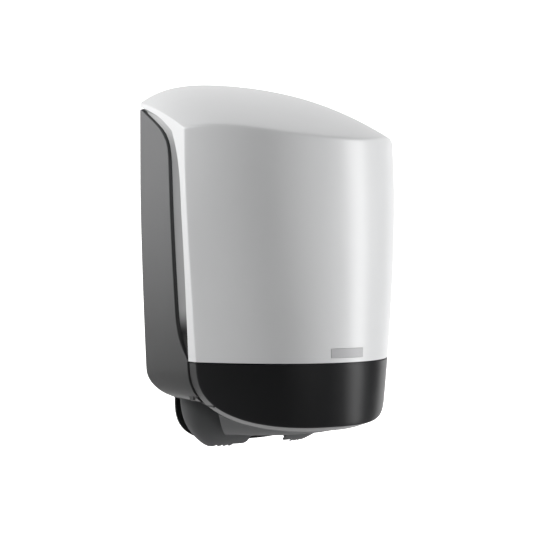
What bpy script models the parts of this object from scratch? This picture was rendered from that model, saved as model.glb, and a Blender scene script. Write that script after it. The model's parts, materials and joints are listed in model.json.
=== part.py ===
"""Centrefeed roll dispenser for a wall: a back shell with finger recesses, a slanted white cover
with a dark lower band, and a split tear outlet underneath. Metres, +Z up, wall plane at Y = 0,
front towards -Y. Heights are written from the middle of the wall face, depths from the wall."""

import math

import bmesh
import bpy
from mathutils import Vector

# Driving sizes of the casing
HALF_WIDTH = 0.1200            # half width at the front corners, at the widest height
BACK_FLARE = 0.0005            # extra half width at the wall
TAPER_FRONT = 0.0112           # how far each front corner comes in, from the widest height to the seam
TAPER_BACK = 0.0055            # the same at the wall
TAPER_POWER = 1.5
CORNER_DEPTH = 0.1315          # wall to front corner
CORNER_LEAN = 0.0035           # how far the corner leans back at the top of the front
BULGE_LOW = 0.0830             # front panel's bulge in front of its corners, at the seam
BULGE_HIGH = 0.0780            # the same at the top of the front
BULGE_POWER = 2.2
TOP_Z = 0.2000                 # highest point, at the wall
CROWN = 0.0285                 # crown of the top across the width
CROWN_ROUND_SHARE = 0.45
CROWN_POWER = 4.6
TOP_FALL = 0.0377              # fall of the top from the wall to the corner depth
TOP_CURVE = 0.01285            # further fall of the top over the same depth
SEAM_Z = -0.1030               # lower edge of the white cover
FRONT_TOP_Z = 0.1230           # top of the front at its corners
WIDEST_DROP = 0.0360           # the casing is widest this far below the top of the front
LEAN_DROP = 0.1210             # the corner stands furthest forward this far below it
WALL = 0.0025                  # moulded wall of every big piece
GAP = 0.0003                   # drawn gap between pieces that touch
RUN = 0.0012                   # running clearance between cover and base
SINK = 0.0010                  # how far a joined form runs into its piece
OVER = 0.0040                  # how far a cutter runs past a face
WELD = 0.000001                # points closer than this are one
MIRROR_WELD = 0.00002

# Driving sizes of the cover's edges
EDGE_ROUND = 0.0024            # rounding where the top meets the front
CORNER_ROUND = 0.0012          # rounding where the front meets the side strip
STRIP_WIDTH = 0.0130           # side strip at its narrowest
STRIP_NARROW_RISE = 0.1180     # above the seam, the strip is narrowest
STRIP_FLARE_LOW = 0.0040       # extra width at the seam
STRIP_FLARE_HIGH = 0.0180      # extra width at the top of the front
STRIP_FLARE_DROP = 0.0610      # the upper flare starts this far below the top of the front
LIP = 0.0046                   # height of the lip along the top's side edges, at the wall
LIP_GROWTH = 0.0030
LIP_HOOK = 0.0050
COVER_BACK = 0.0008            # clearance of the cover to the wall
FLANGE_DEPTH = 0.0085          # seam flanges, from the outer face inwards
FLANGE_THICK = 0.0026

# Driving sizes of the lower band
BAND_DROP = 0.0595             # seam to the face's lowest edge
BAND_START = 0.0040            # below the seam the outline starts to sweep in
BAND_POWER_X = 4.1
BAND_POWER_Z = 2.8
SEAM_GAP = 0.0012
RETURN_DEPTH = 0.0170          # the band's edge returns this far towards the wall
RETURN_DROP = 0.0055           # and falls this much on the way, at the bottom

# Driving sizes of the back shell
PANEL_SETBACK = 0.0425         # front corner back to the side panel's rolled edge
PANEL_RISE = 0.0423            # the panel's edge line meets the wall this far above the front's top
PANEL_SLOPE = 1.95             # depth gained for each unit of height along the top edge
PANEL_SWEEP = 0.0208           # forward sweep of the rolled edge down to the seam
PANEL_SWEEP_RISE = 0.0600      # the sweep starts this far above the seam
EDGE_ROLL = 0.0022
EDGE_BEND = 0.0035
EDGE_LEAST = 0.0065
EDGE_GAP = 0.0018              # rolled edge to the band's return
FLUTE_DEPTH = 0.0160           # finger recess, from the side panel inwards
FLUTE_TOP = 0.0060             # the same under the top's lip
FLUTE_RUN_LOW = 0.0550         # the recess deepens over this height above the seam
FLUTE_RUN_HIGH = 0.0600        # and fades over this height below the panel's top
FLUTE_END = 0.0120
SHELL_LAND = 0.0075            # the shell's front edge, in front of the recess
BASE_DROP = 0.0400             # seam to the underside of the back shell
HEEL_DEPTH = 0.0650            # rounded lower heel, depth and height
HEEL_HEIGHT = 0.0254
CURL = 0.0100                  # how far the side curls in at the underside
CURL_HEIGHT = 0.0300
BACK_WALL = 0.0030
APRON_INSET = 0.0380           # the back plate's apron behind the outlet, from the half width
APRON_OVERLAP = 0.0300
APRON_BEND = 0.0050            # the apron's sides run this far below the underside
APRON_LENGTH = 0.0955          # seam to the apron's lowest edge
ROOF_GAP = 0.0014
ROOF_OVER = 0.0100

# Driving sizes of the outlet
BOWL_CENTRE = 0.0470           # depth of the bowl's centre
BOWL_INSET = 0.0300            # top half sizes: from the casing's half width, and in depth
BOWL_HALF_Y = 0.0425
BOWL_FOOT_SHIFT = 0.0060       # the foot stands this far in front of the top
BOWL_FOOT_IN = 0.0390          # bottom half sizes: this much less across, and in depth
BOWL_FOOT_HALF_Y = 0.0290
BOWL_POWER = 2.6
BOWL_LENGTH = 0.0960           # seam to the lobes' lowest edge
ARCH_HALF_WIDTH = 0.0340       # front-to-back arch between the two lobes
ARCH_LENGTH = 0.0810           # seam to the arch's top
ARCH_ROUND = 0.0060
TOOTH_HEIGHT = 0.0020
TOOTH_PITCH = 0.0045
KNOB_WIDTH = 0.0110            # smooth inner end of each lobe
KNOB_RISE = 0.0036
OPENING_INSET = 0.0540         # paper opening in the shell's floor, from the half width
OPENING_BACK = 0.0125

# Driving sizes of the paper path and the hinge
PLATFORM_DROP = 0.0250         # seam to the top of the roll platform
PLATFORM_THICK = 0.0040
PLATFORM_INSET = 0.0345
PLATFORM_SETBACK = 0.0120      # from the front face back to the platform's edge
PLATFORM_BACK = 0.0160
HINGE_SETBACK = 0.0295         # front corner back to the hinge axis
HINGE_DROP = 0.0340            # seam to the hinge axis
PIN_RADIUS = 0.0025
PIN_LENGTH = 0.0115
EAR_INSET = 0.0260             # middle of each hinge ear, from the half width
EAR_THICK = 0.0040
EAR_RADIUS = 0.0058
SWEEP_CLEARANCE = 0.0012

# Driving sizes of the latch
LATCH_DROP = 0.0110            # latch line below the top of the front
BUTTON_DEPTH = 0.0400
BUTTON_RADIUS = 0.0110
BUTTON_TRAVEL = 0.0040

# Driving sizes of the screws
SCREW_HEAD = 0.0030            # head radius
SCREW_HEAD_HEIGHT = 0.0020
SCREW_SHANK = 0.0015
SCREW_TIP = 0.0008
SCREW_LENGTH = 0.0110
SCREW_STEPS = 10
PILOT = SCREW_SHANK + GAP
BOSS_RADIUS = 0.0040
SMALL_BOSS_RADIUS = 0.0032

# Heights and places that follow from them
WIDEST_Z = FRONT_TOP_Z - WIDEST_DROP
LEAN_Z = FRONT_TOP_Z - LEAN_DROP
HALF_WIDTH_BACK = HALF_WIDTH + BACK_FLARE
PANEL_DEPTH = CORNER_DEPTH - PANEL_SETBACK
PANEL_TOP_Z = FRONT_TOP_Z + PANEL_RISE
BASE_Z = SEAM_Z - BASE_DROP
HINGE_Z = SEAM_Z - HINGE_DROP
HINGE_DEPTH = CORNER_DEPTH - HINGE_SETBACK
EAR_X = HALF_WIDTH - EAR_INSET
PLATFORM_TOP_Z = SEAM_Z - PLATFORM_DROP
BOWL_HALF_X = HALF_WIDTH - BOWL_INSET
BOWL_LOW_Z = SEAM_Z - BOWL_LENGTH
ARCH_TOP_Z = SEAM_Z - ARCH_LENGTH
LATCH_Z = FRONT_TOP_Z - LATCH_DROP
TRAY_TOP_Z = BASE_Z - GAP


# Scene and helpers

for old in list(bpy.data.objects):
    bpy.data.objects.remove(old, do_unlink=True)

scene = bpy.context.scene
parts = bpy.data.collections.new("centrefeed_roll_dispenser")
cutters = bpy.data.collections.new("cutters")
cutters.hide_render = True
scene.collection.children.link(parts)
scene.collection.children.link(cutters)


def material(name, colour, roughness, metallic=0.0):
    made = bpy.data.materials.new(name)
    made.use_nodes = True
    shader = made.node_tree.nodes["Principled BSDF"]
    shader.inputs["Base Color"].default_value = (*colour, 1.0)
    shader.inputs["Roughness"].default_value = roughness
    shader.inputs["Metallic"].default_value = metallic
    return made


def add(name, mesh, look=None):
    """Adds a piece, or with no look a cutter or helper that only feeds a Boolean."""
    obj = bpy.data.objects.new(name, mesh)
    if look:
        parts.objects.link(obj)
        mesh.materials.append(look)
    else:
        cutters.objects.link(obj)
        obj.hide_render = True
        obj.display_type = "WIRE"
    return obj


def mesh_of(name, points, faces, outward=True):
    mesh = bpy.data.meshes.new(name)
    mesh.from_pydata(points, [], faces)
    work = bmesh.new()
    work.from_mesh(mesh)
    bmesh.ops.remove_doubles(work, verts=work.verts, dist=WELD)
    bmesh.ops.dissolve_degenerate(work, edges=work.edges, dist=WELD)
    if outward:
        bmesh.ops.recalc_face_normals(work, faces=work.faces)
    work.to_mesh(mesh)
    work.free()
    return mesh


def grid_faces(rows, columns):
    """Quads of a grid of points that is stored row by row."""
    return [
        (r * columns + c, (r + 1) * columns + c, (r + 1) * columns + c + 1, r * columns + c + 1)
        for r in range(rows - 1)
        for c in range(columns - 1)
    ]


def ring_faces(rings, count):
    return [
        (r * count + c, r * count + (c + 1) % count, (r + 1) * count + (c + 1) % count, (r + 1) * count + c)
        for r in range(rings - 1)
        for c in range(count)
    ]


def loft(name, rings, look=None):
    """Closed solid through closed rings that all have the same count of points."""
    count = len(rings[0])
    points = [point for ring in rings for point in ring]
    faces = ring_faces(len(rings), count)
    faces.append(tuple(range(count)))
    faces.append(tuple((len(rings) - 1) * count + c for c in range(count)))
    return add(name, mesh_of(name, points, faces), look)


def raised_sheet(name, rows, raised, look=None):
    """Closed solid between a grid of points and the same grid moved."""
    columns = len(rows[0])
    low = [point for row in rows for point in row]
    high = [raised(point) for point in low]
    count = len(low)
    faces = grid_faces(len(rows), columns)
    upper = [tuple(index + count for index in face) for face in faces]
    rim = list(range(columns))
    rim += [i * columns + columns - 1 for i in range(1, len(rows))]
    rim += [(len(rows) - 1) * columns + j for j in range(columns - 2, -1, -1)]
    rim += [i * columns for i in range(len(rows) - 2, 0, -1)]
    walls = [(a, b, b + count, a + count) for a, b in zip(rim, rim[1:] + rim[:1])]
    return add(name, mesh_of(name, low + high, faces + upper + walls), look)


def box(name, low, high, look=None):
    mesh = bpy.data.meshes.new(name)
    work = bmesh.new()
    bmesh.ops.create_cube(work, size=1.0)
    for vertex in work.verts:
        vertex.co = [a + (b - a) * (share + 0.5) for a, b, share in zip(low, high, vertex.co)]
    work.to_mesh(mesh)
    work.free()
    return add(name, mesh, look)


def rod(name, start, end, radius, look=None, segments=12):
    """Cylinder between two points."""
    mesh = bpy.data.meshes.new(name)
    work = bmesh.new()
    along = Vector(end) - Vector(start)
    bmesh.ops.create_cone(
        work, cap_ends=True, segments=segments, radius1=radius, radius2=radius, depth=along.length
    )
    work.to_mesh(mesh)
    work.free()
    obj = add(name, mesh, look)
    obj.rotation_mode = "QUATERNION"
    obj.rotation_quaternion = along.to_track_quat("Z", "Y")
    obj.location = (Vector(start) + Vector(end)) / 2
    return obj


def upright(name, x, depth, low, high, radius, look=None, segments=12):
    return rod(name, (x, -depth, low), (x, -depth, high), radius, look, segments)


def plate(name, outline, low, thick, axis="Z", look=None):
    """Flat plate from a closed outline, raised along an axis from its low face."""
    turn = {
        "Z": lambda a, b, h: (a, b, h),
        "X": lambda a, b, h: (h, a, b),
        "Y": lambda a, b, h: (a, h, b),
    }[axis]
    curve = bpy.data.curves.new(name, "CURVE")
    curve.dimensions = "2D"
    curve.fill_mode = "BOTH"
    curve.extrude = thick / 2
    spline = curve.splines.new("POLY")
    spline.points.add(len(outline) - 1)
    for point, (a, b) in zip(spline.points, outline):
        point.co = (a, b, 0.0, 1.0)
    spline.use_cyclic_u = True
    drawn = bpy.data.objects.new(name + "_outline", curve)
    scene.collection.objects.link(drawn)
    bpy.context.view_layer.update()
    graph = bpy.context.evaluated_depsgraph_get()
    mesh = bpy.data.meshes.new_from_object(drawn.evaluated_get(graph))
    bpy.data.objects.remove(drawn)
    work = bmesh.new()
    work.from_mesh(mesh)
    bmesh.ops.remove_doubles(work, verts=work.verts, dist=WELD)
    for vertex in work.verts:
        a, b, h = vertex.co
        vertex.co = turn(a, b, low + thick / 2 + h)
    bmesh.ops.recalc_face_normals(work, faces=work.faces)
    work.to_mesh(mesh)
    work.free()
    mesh.name = name
    return add(name, mesh, look)


def boolean(obj, other, how):
    step = obj.modifiers.new(how.lower(), "BOOLEAN")
    step.operation = how
    step.solver = "EXACT"
    step.object = other


def cut(obj, other):
    boolean(obj, other, "DIFFERENCE")


def join(obj, other):
    boolean(obj, other, "UNION")


def mirror(obj):
    step = obj.modifiers.new("mirror", "MIRROR")
    step.use_clip = True
    step.merge_threshold = MIRROR_WELD


def blend(a, b, share):
    return tuple(p + (q - p) * share for p, q in zip(a, b))


def rounded(before, corner, after, share=0.5):
    """Point on the rounding of a corner between two points."""
    return blend(blend(before, corner, share), blend(corner, after, share), share)


def arc(centre, radius, start, end, steps):
    """Points of an arc, in degrees."""
    return [
        (centre[0] + radius * math.cos(math.radians(start + (end - start) * i / steps)),
         centre[1] + radius * math.sin(math.radians(start + (end - start) * i / steps)))
        for i in range(steps + 1)
    ]


def oval(half_x, half_y, centre, z, power, count):
    """Superellipse ring at one height."""
    ring = []
    for i in range(count):
        angle = 2 * math.pi * i / count
        c, s = math.cos(angle), math.sin(angle)
        x = half_x * math.copysign(abs(c) ** (2.0 / power), c)
        y = half_y * math.copysign(abs(s) ** (2.0 / power), s)
        ring.append((x, -centre + y, z))
    return ring


def smooth_edges(obj, degrees=35.0):
    obj.data.shade_smooth()
    obj.data.set_sharp_from_angle(angle=math.radians(degrees))


# Casing surfaces

def fall(z):
    return max(0.0, (WIDEST_Z - z) / (WIDEST_Z - SEAM_Z)) ** TAPER_POWER


def half_width(depth, z):
    back = HALF_WIDTH_BACK - TAPER_BACK * fall(z)
    front = HALF_WIDTH - TAPER_FRONT * fall(z)
    return back + (front - back) * depth / CORNER_DEPTH


def corner_depth(z):
    return CORNER_DEPTH - CORNER_LEAN * ((z - LEAN_Z) / (FRONT_TOP_Z - LEAN_Z)) ** 2


def corner_half_width(z):
    return half_width(corner_depth(z), z)


def front_depth(x, z):
    corner = corner_depth(z)
    share = min(1.0, abs(x) / half_width(corner, z))
    high = (z - SEAM_Z) / (FRONT_TOP_Z - SEAM_Z)
    bulge = BULGE_LOW + (BULGE_HIGH - BULGE_LOW) * high
    return corner + bulge * (1.0 - share**BULGE_POWER)


def face_offset(x, z):
    """Depth between the outer and the inner face for a wall of even thickness."""
    slope = (front_depth(x, z) - front_depth(x - WALL, z)) / WALL
    return WALL * math.sqrt(1.0 + slope**2)


def top_z(x, depth):
    share = min(1.0, abs(x) / HALF_WIDTH)
    arch = (1.0 - CROWN_ROUND_SHARE) * share**CROWN_POWER + CROWN_ROUND_SHARE * share**2
    run = depth / CORNER_DEPTH
    return TOP_Z - CROWN * arch - TOP_FALL * run - TOP_CURVE * run**2


def band_half_width(z):
    share = min(1.0, max(0.0, (SEAM_Z - BAND_START - z) / (BAND_DROP - BAND_START)))
    return corner_half_width(z) * (1.0 - share**BAND_POWER_Z) ** (1.0 / BAND_POWER_X)


def band_low_z(x):
    """Lower outline of the band's face at a given distance from the middle."""
    share = min(1.0, abs(x) / corner_half_width(SEAM_Z - BAND_DROP / 2))
    drop = (1.0 - share**BAND_POWER_X) ** (1.0 / BAND_POWER_Z)
    return SEAM_Z - BAND_START - (BAND_DROP - BAND_START) * drop


def return_drop(x):
    """How much the band's return falls on its way back."""
    share = min(1.0, abs(x) / corner_half_width(SEAM_Z))
    return RETURN_DROP * (1.0 - share**2)


def front_edge(share):
    """Point where the top meets the front, at a share of the half width."""
    z = FRONT_TOP_Z
    depth = CORNER_DEPTH
    for _ in range(12):
        x = share * corner_half_width(z)
        depth = front_depth(x, z)
        z = top_z(x, depth)
    return (x, depth, z)


# Cover shell: slanted crowned top, bulging front and narrow side strips in one moulding

white = material("cover_white", (0.80, 0.81, 0.82), 0.42)
FRONT_ROWS = 7
TOP_ROWS = 5
COVER_SHARES = (0.0, 0.12, 0.25, 0.38, 0.51, 0.63, 0.74, 0.84, 0.92, 0.965)
LIP_HOOK_START_SHARE = 0.55


def strip_width(z):
    narrow_z = SEAM_Z + STRIP_NARROW_RISE
    flare_z = FRONT_TOP_Z - STRIP_FLARE_DROP
    narrow = STRIP_FLARE_LOW * max(0.0, (narrow_z - z) / (narrow_z - SEAM_Z)) ** 1.5
    flare = max(0.0, (z - flare_z) / (FRONT_TOP_Z - flare_z)) ** 2.2
    return STRIP_WIDTH + narrow + STRIP_FLARE_HIGH * flare


def side_point(depth, z):
    return (half_width(depth, z), depth, z)


def lip_point(depth):
    """Lower edge of the lip under the top's side edge."""
    reach = corner_depth(FRONT_TOP_Z) - strip_width(FRONT_TOP_Z)
    share = depth / corner_depth(FRONT_TOP_Z)
    back = share * reach
    hook = LIP_HOOK * max(0.0, (share - LIP_HOOK_START_SHARE) / (1.0 - LIP_HOOK_START_SHARE)) ** 1.5
    return side_point(back, top_z(HALF_WIDTH, back) - LIP - LIP_GROWTH * share - hook)


def cover_row(kind, share):
    """One row of the cover's half sheet, from the middle line to the strip's rear edge."""

    def place(across):
        edge = front_edge(across)
        if kind == "top":
            depth = COVER_BACK + (edge[1] - COVER_BACK) * share
            x = across * half_width(depth, edge[2])
            return (x, depth, top_z(x, depth))
        z = edge[2] + (SEAM_Z - edge[2]) * share
        x = across * corner_half_width(z)
        return (x, front_depth(x, z), z)

    row = [place(across) for across in COVER_SHARES]
    limit = place(1.0)
    before = place(1.0 - CORNER_ROUND / HALF_WIDTH)
    if kind == "top":
        rear = lip_point(max(0.0, limit[1]))
    else:
        rear = side_point(limit[1] - strip_width(limit[2]), limit[2])
    after = blend(limit, rear, CORNER_ROUND / math.dist(limit, rear))
    row += [before, rounded(before, limit, after), after]
    for share_back in (0.5, 1.0):
        x, depth, z = blend(limit, rear, share_back)
        row.append(side_point(depth, z))
    return row


def cover_rows():
    reach = front_edge(0.0)[1]
    tall = front_edge(0.0)[2] - SEAM_Z
    rows = [cover_row("top", i / TOP_ROWS) for i in range(TOP_ROWS)]
    upper = cover_row("top", 1.0 - EDGE_ROUND / reach)
    edge = cover_row("top", 1.0)
    lower = cover_row("front", EDGE_ROUND / tall)
    rows.append(upper)
    rows.append([rounded(a, b, c) for a, b, c in zip(upper, edge, lower)])
    rows.append(lower)
    rows += [cover_row("front", i / FRONT_ROWS) for i in range(1, FRONT_ROWS + 1)]
    return rows


def to_world(point):
    return (point[0], -point[1], point[2])


def half_sheet(name, rows, look):
    """Half sheet at X >= 0 that a Mirror completes and a Solidify thickens inwards."""
    points = [to_world(point) for row in rows for point in row]
    mesh = mesh_of(name, points, grid_faces(len(rows), len(rows[0])), outward=False)
    obj = add(name, mesh, look)
    mirror(obj)
    thick = obj.modifiers.new("wall", "SOLIDIFY")
    thick.thickness = WALL
    thick.offset = -1.0
    thick.use_even_offset = True
    return obj


SEAM_STEPS = 20


def seam_line(inset):
    """Line that follows the front at the seam, moved inwards."""
    wide = corner_half_width(SEAM_Z)
    shares = [-1.0 + 2.0 * i / SEAM_STEPS for i in range(SEAM_STEPS + 1)]
    return [(share * (wide - inset), inset - front_depth(share * wide, SEAM_Z)) for share in shares]


def seam_flange(name, low):
    """Flat flange behind the seam that follows the front."""
    return plate(name, seam_line(WALL / 2) + seam_line(FLANGE_DEPTH)[::-1], low, FLANGE_THICK)


cover = half_sheet("cover_shell", cover_rows(), white)
join(cover, seam_flange("cover_flange", SEAM_Z + GAP))
BAND_SCREW_SHARES = (-0.65, -0.25, 0.25, 0.65)
BAND_SCREW_X = [share * HALF_WIDTH for share in BAND_SCREW_SHARES]
PAD_RADIUS = SCREW_HEAD + GAP
PAD_LOW_Z = SEAM_Z - 3 * GAP - FLANGE_THICK
SEAM_BOSS_HEIGHT = 0.0105
SEAM_PILOT_HEIGHT = 0.0090


def band_screw_depth(x):
    return front_depth(abs(x) + SCREW_HEAD, SEAM_Z) - face_offset(abs(x), SEAM_Z) - SCREW_HEAD - 2 * GAP


for number, x in enumerate(BAND_SCREW_X):
    join(cover, upright("cover_boss_%d" % number, x, band_screw_depth(x), SEAM_Z + SINK,
                        SEAM_Z + SEAM_BOSS_HEIGHT, SMALL_BOSS_RADIUS))
for number, x in enumerate(BAND_SCREW_X):
    cut(cover, upright("cover_pilot_%d" % number, x, band_screw_depth(x), SEAM_Z - OVER,
                       SEAM_Z + SEAM_PILOT_HEIGHT, PILOT))

# Badge plate: bare blank plate in a shallow pocket of the cover

badge_grey = material("badge_grey", (0.47, 0.47, 0.48), 0.5)
BADGE_MIDDLE_SHARE = 0.0917
BADGE_WIDTH = 0.0370
BADGE_HEIGHT = 0.0085
BADGE_RISE = 0.0045            # above the seam
BADGE_SUNK = 0.0008
BADGE_PROUD = 0.0002
BADGE_STEPS = 8
badge_left = BADGE_MIDDLE_SHARE * HALF_WIDTH - BADGE_WIDTH / 2
badge_low_z = SEAM_Z + BADGE_RISE


def front_patch(name, margin, inner, outer, look=None):
    """The badge's form, between two offsets from the front face and with a margin all round."""
    left, right = badge_left - margin, badge_left + BADGE_WIDTH + margin
    low, high = badge_low_z - margin, badge_low_z + BADGE_HEIGHT + margin
    rings = []
    for i in range(BADGE_STEPS + 1):
        x = left + (right - left) * i / BADGE_STEPS
        near = front_depth(x, low)
        far = front_depth(x, high)
        rings.append([
            (x, inner - near, low),
            (x, -outer - near, low),
            (x, -outer - far, high),
            (x, inner - far, high),
        ])
    return loft(name, rings, look)


cut(cover, front_patch("badge_pocket", GAP, BADGE_SUNK + GAP, OVER))
badge = front_patch("badge_plate", 0.0, BADGE_SUNK, BADGE_PROUD, badge_grey)

# Keeper bosses under the cover's top, flat at one height

SLIDE_RIGHT_INSET = 0.0185     # the latch slide's right end, from the half width
SLIDE_LENGTH = 0.0575
WINDOW_FROM_RIGHT = 0.0375
KEEPER_INTO_WINDOW = 0.0033    # keeper's middle, from the window's left edge
KEEPER_SPREAD = 0.0062         # the keeper's screws stand this far to each side of its web
KEEPER_RISE = 0.0110           # keeper's seat above the top of the front
KEEPER_SETBACKS = (0.0315, 0.0135)
KEEPER_PILOT_HEIGHT = 0.0080
SLIDE_RIGHT = HALF_WIDTH - SLIDE_RIGHT_INSET
WINDOW_LEFT = SLIDE_RIGHT - WINDOW_FROM_RIGHT
KEEPER_X = WINDOW_LEFT + KEEPER_INTO_WINDOW
KEEPER_TOP_Z = FRONT_TOP_Z + KEEPER_RISE
KEEPER_SCREWS = [(KEEPER_X + side * KEEPER_SPREAD, CORNER_DEPTH - setback)
                 for side, setback in zip((-1, 1), KEEPER_SETBACKS)]
for number, (x, depth) in enumerate(KEEPER_SCREWS):
    high = top_z(x + BOSS_RADIUS, depth + BOSS_RADIUS) - WALL / 2
    join(cover, upright("keeper_boss_%d" % number, x, depth, KEEPER_TOP_Z + GAP, high, BOSS_RADIUS))
for number, (x, depth) in enumerate(KEEPER_SCREWS):
    cut(cover, upright("keeper_pilot_%d" % number, x, depth, KEEPER_TOP_Z - OVER,
                       KEEPER_TOP_Z + KEEPER_PILOT_HEIGHT, PILOT))
smooth_edges(cover)

# Lower band: dark fascia that carries on the front and sweeps in below, with an edge return

band_black = material("band_black", (0.030, 0.031, 0.033), 0.48)
BAND_COLUMNS = 18
BAND_SPACING_POWER = 1.6
SEAM_REACH_SHARE = 0.965
BAND_SHARES = (0.0, 0.34, 0.66, 0.88)


def band_path(turn):
    """Outline point of the face: 0 at the bottom middle, 1 at the seam's corner."""
    angle = turn * math.pi / 2
    drop = math.cos(angle) ** (2.0 / BAND_POWER_Z)
    z = SEAM_Z - BAND_START - (BAND_DROP - BAND_START) * drop
    x = corner_half_width(z) * math.sin(angle) ** (2.0 / BAND_POWER_X)
    return (x, front_depth(x, z), z)


def inset_path(path, distance):
    """The same outline moved inwards in the plane of the face."""
    moved = []
    for i, (x, _, z) in enumerate(path):
        before = path[max(i - 1, 0)]
        after = path[min(i + 1, len(path) - 1)]
        along_x, along_z = after[0] - before[0], after[2] - before[2]
        if i == 0:
            along_x, along_z = 1.0, 0.0
        if i == len(path) - 1:
            along_x, along_z = 0.0, 1.0
        length = math.hypot(along_x, along_z)
        moved.append((x - distance * along_z / length, z + distance * along_x / length))
    return moved


def band_sections():
    """Closed sections, from the bottom middle round to the seam's corner."""
    top = SEAM_Z - SEAM_GAP
    wide = corner_half_width(top)
    path = [band_path((i / BAND_COLUMNS) ** BAND_SPACING_POWER) for i in range(BAND_COLUMNS + 1)]
    path.append((wide, front_depth(wide, top), top))
    sections = []
    for i, ((x, depth, z), (x_in, z_in)) in enumerate(zip(path, inset_path(path, WALL))):
        start = wide * SEAM_REACH_SHARE * i / (len(path) - 1)
        start_in = start * (wide - WALL) / wide
        z_in = min(z_in, top)
        drop = min(return_drop(x), top - z)

        def place(share, x_from, x_to, z_to, inward):
            level = top + (z_to - top) * share
            x_now = x_from + (x_to - x_from) * share
            back = face_offset(x_now, level) if inward else 0.0
            return (x_now, -(front_depth(x_now, level) - back), level)

        near_share = 1.0 - CORNER_ROUND / math.dist((start, top), (x, z))
        near = place(near_share, start, x, z, False)
        edge = (x, -depth, z)
        rear = (x, -(depth - RETURN_DEPTH), z - drop)
        back = blend(edge, rear, CORNER_ROUND / RETURN_DEPTH)
        section = [place(near_share * share, start, x, z, False) for share in BAND_SHARES]
        section += [near, rounded(near, edge, back), back, rear]
        section.append((x_in, -(depth - RETURN_DEPTH), z_in - drop))
        section += [place(share, start_in, x_in, z_in, True) for share in (1.0, *BAND_SHARES[::-1])]
        sections.append(section)
    return sections


def open_loft(name, sections, look):
    """Half solid at X >= 0, closed at its far end; a Mirror closes the middle."""
    count = len(sections[0])
    points = [point for section in sections for point in section]
    faces = ring_faces(len(sections), count)
    faces.append(tuple((len(sections) - 1) * count + c for c in range(count)))
    obj = add(name, mesh_of(name, points, faces), look)
    mirror(obj)
    return obj


band = open_loft("lower_band", band_sections(), band_black)
join(band, seam_flange("band_flange", SEAM_Z - GAP - FLANGE_THICK))
for number, x in enumerate(BAND_SCREW_X):
    join(band, upright("band_pad_%d" % number, x, band_screw_depth(x), PAD_LOW_Z, SEAM_Z - 2 * GAP,
                       PAD_RADIUS))
for number, x in enumerate(BAND_SCREW_X):
    cut(band, upright("band_hole_%d" % number, x, band_screw_depth(x), PAD_LOW_Z - OVER, SEAM_Z + OVER,
                      PILOT))

# Hinge ears inside the band's return

EAR_ROOT = 0.0140              # height of the ear where it meets the face
EAR_ROOT_IN = 0.0012           # its lower front corner, inside the outline
EAR_NECK = 0.0100
ear_root_z = band_low_z(EAR_X) + EAR_ROOT_IN
ear_root_front = front_depth(EAR_X, ear_root_z) - EAR_ROOT_IN
for side, label in ((-1, "left"), (1, "right")):
    outline = arc((-HINGE_DEPTH, HINGE_Z), EAR_RADIUS, 90.0, -90.0, 8)
    outline.append((-(ear_root_front - RETURN_DEPTH + WALL), ear_root_z - GAP))
    outline.append((-(ear_root_front - 2 * EAR_ROOT_IN), ear_root_z))
    outline.append((-(ear_root_front + EAR_ROOT_IN / 2), ear_root_z + EAR_ROOT))
    outline.append((-(ear_root_front - EAR_ROOT), HINGE_Z + EAR_NECK))
    join(band, plate("hinge_ear_%s" % label, outline, side * EAR_X - EAR_THICK / 2, EAR_THICK, "X"))
for side, label in ((-1, "left"), (1, "right")):
    cut(band, rod("ear_hole_%s" % label, (side * EAR_X - EAR_THICK, -HINGE_DEPTH, HINGE_Z),
                  (side * EAR_X + EAR_THICK, -HINGE_DEPTH, HINGE_Z), PIN_RADIUS + GAP, segments=20))
smooth_edges(band)

# Back shell: side panels with rolled edges, finger recesses and a rounded heel

shell_grey = material("shell_dark_grey", (0.105, 0.107, 0.110), 0.5)
LOW_SHARES = (0.0, 0.05, 0.17, 0.33, 0.52, 0.74, 0.9875)
HIGH_SHARES = (0.04, 0.10, 0.17, 0.25, 0.36, 0.50, 0.63, 0.735, 0.82, 0.89, 0.95, 0.9965)
ROOF_SHARES = (0.64, 1.10)
ROOF_ACROSS_SHARES = (0.0, 0.34, 0.58, 0.74, 0.84, 0.92, 1.0)
GUTTER_SHARES = ((0.30, 0.52), (0.64, 0.88))
PANEL_POWER = 5.0
EDGE_STEP = 0.0011             # rolled edge to the land below the seam
PANEL_STEP = 0.0025            # the same beside the recess
PANEL_BEVEL = 0.0008
CAVITY_OVER = 0.0200
UNDER_LIP = 0.0010
under_lip_z = PANEL_TOP_Z - UNDER_LIP


def band_rear(z):
    return front_depth(band_half_width(z), z) - RETURN_DEPTH


def heel_depth(z):
    share = min(1.0, max(0.0, (BASE_Z + HEEL_HEIGHT - z) / HEEL_HEIGHT))
    return HEEL_DEPTH * (1.0 - math.sqrt(1.0 - share**2))


def curl(z):
    share = min(0.97, max(0.0, (BASE_Z + CURL_HEIGHT - z) / CURL_HEIGHT))
    return CURL * (1.0 - math.sqrt(1.0 - share**2))


def swept_depth(z):
    """Furthest depth beside the hinge that the band's return stays clear of as it swings."""
    side = half_width(HINGE_DEPTH, z) - curl(z)
    low, high = SEAM_Z - BAND_DROP, SEAM_Z
    for _ in range(24):
        middle = (low + high) / 2
        if band_half_width(middle) > side:
            high = middle
        else:
            low = middle
    radius = math.hypot(band_rear(low) - HINGE_DEPTH, low - HINGE_Z) - SWEEP_CLEARANCE
    return HINGE_DEPTH + math.sqrt(radius**2 - (HINGE_Z - z) ** 2)


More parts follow.
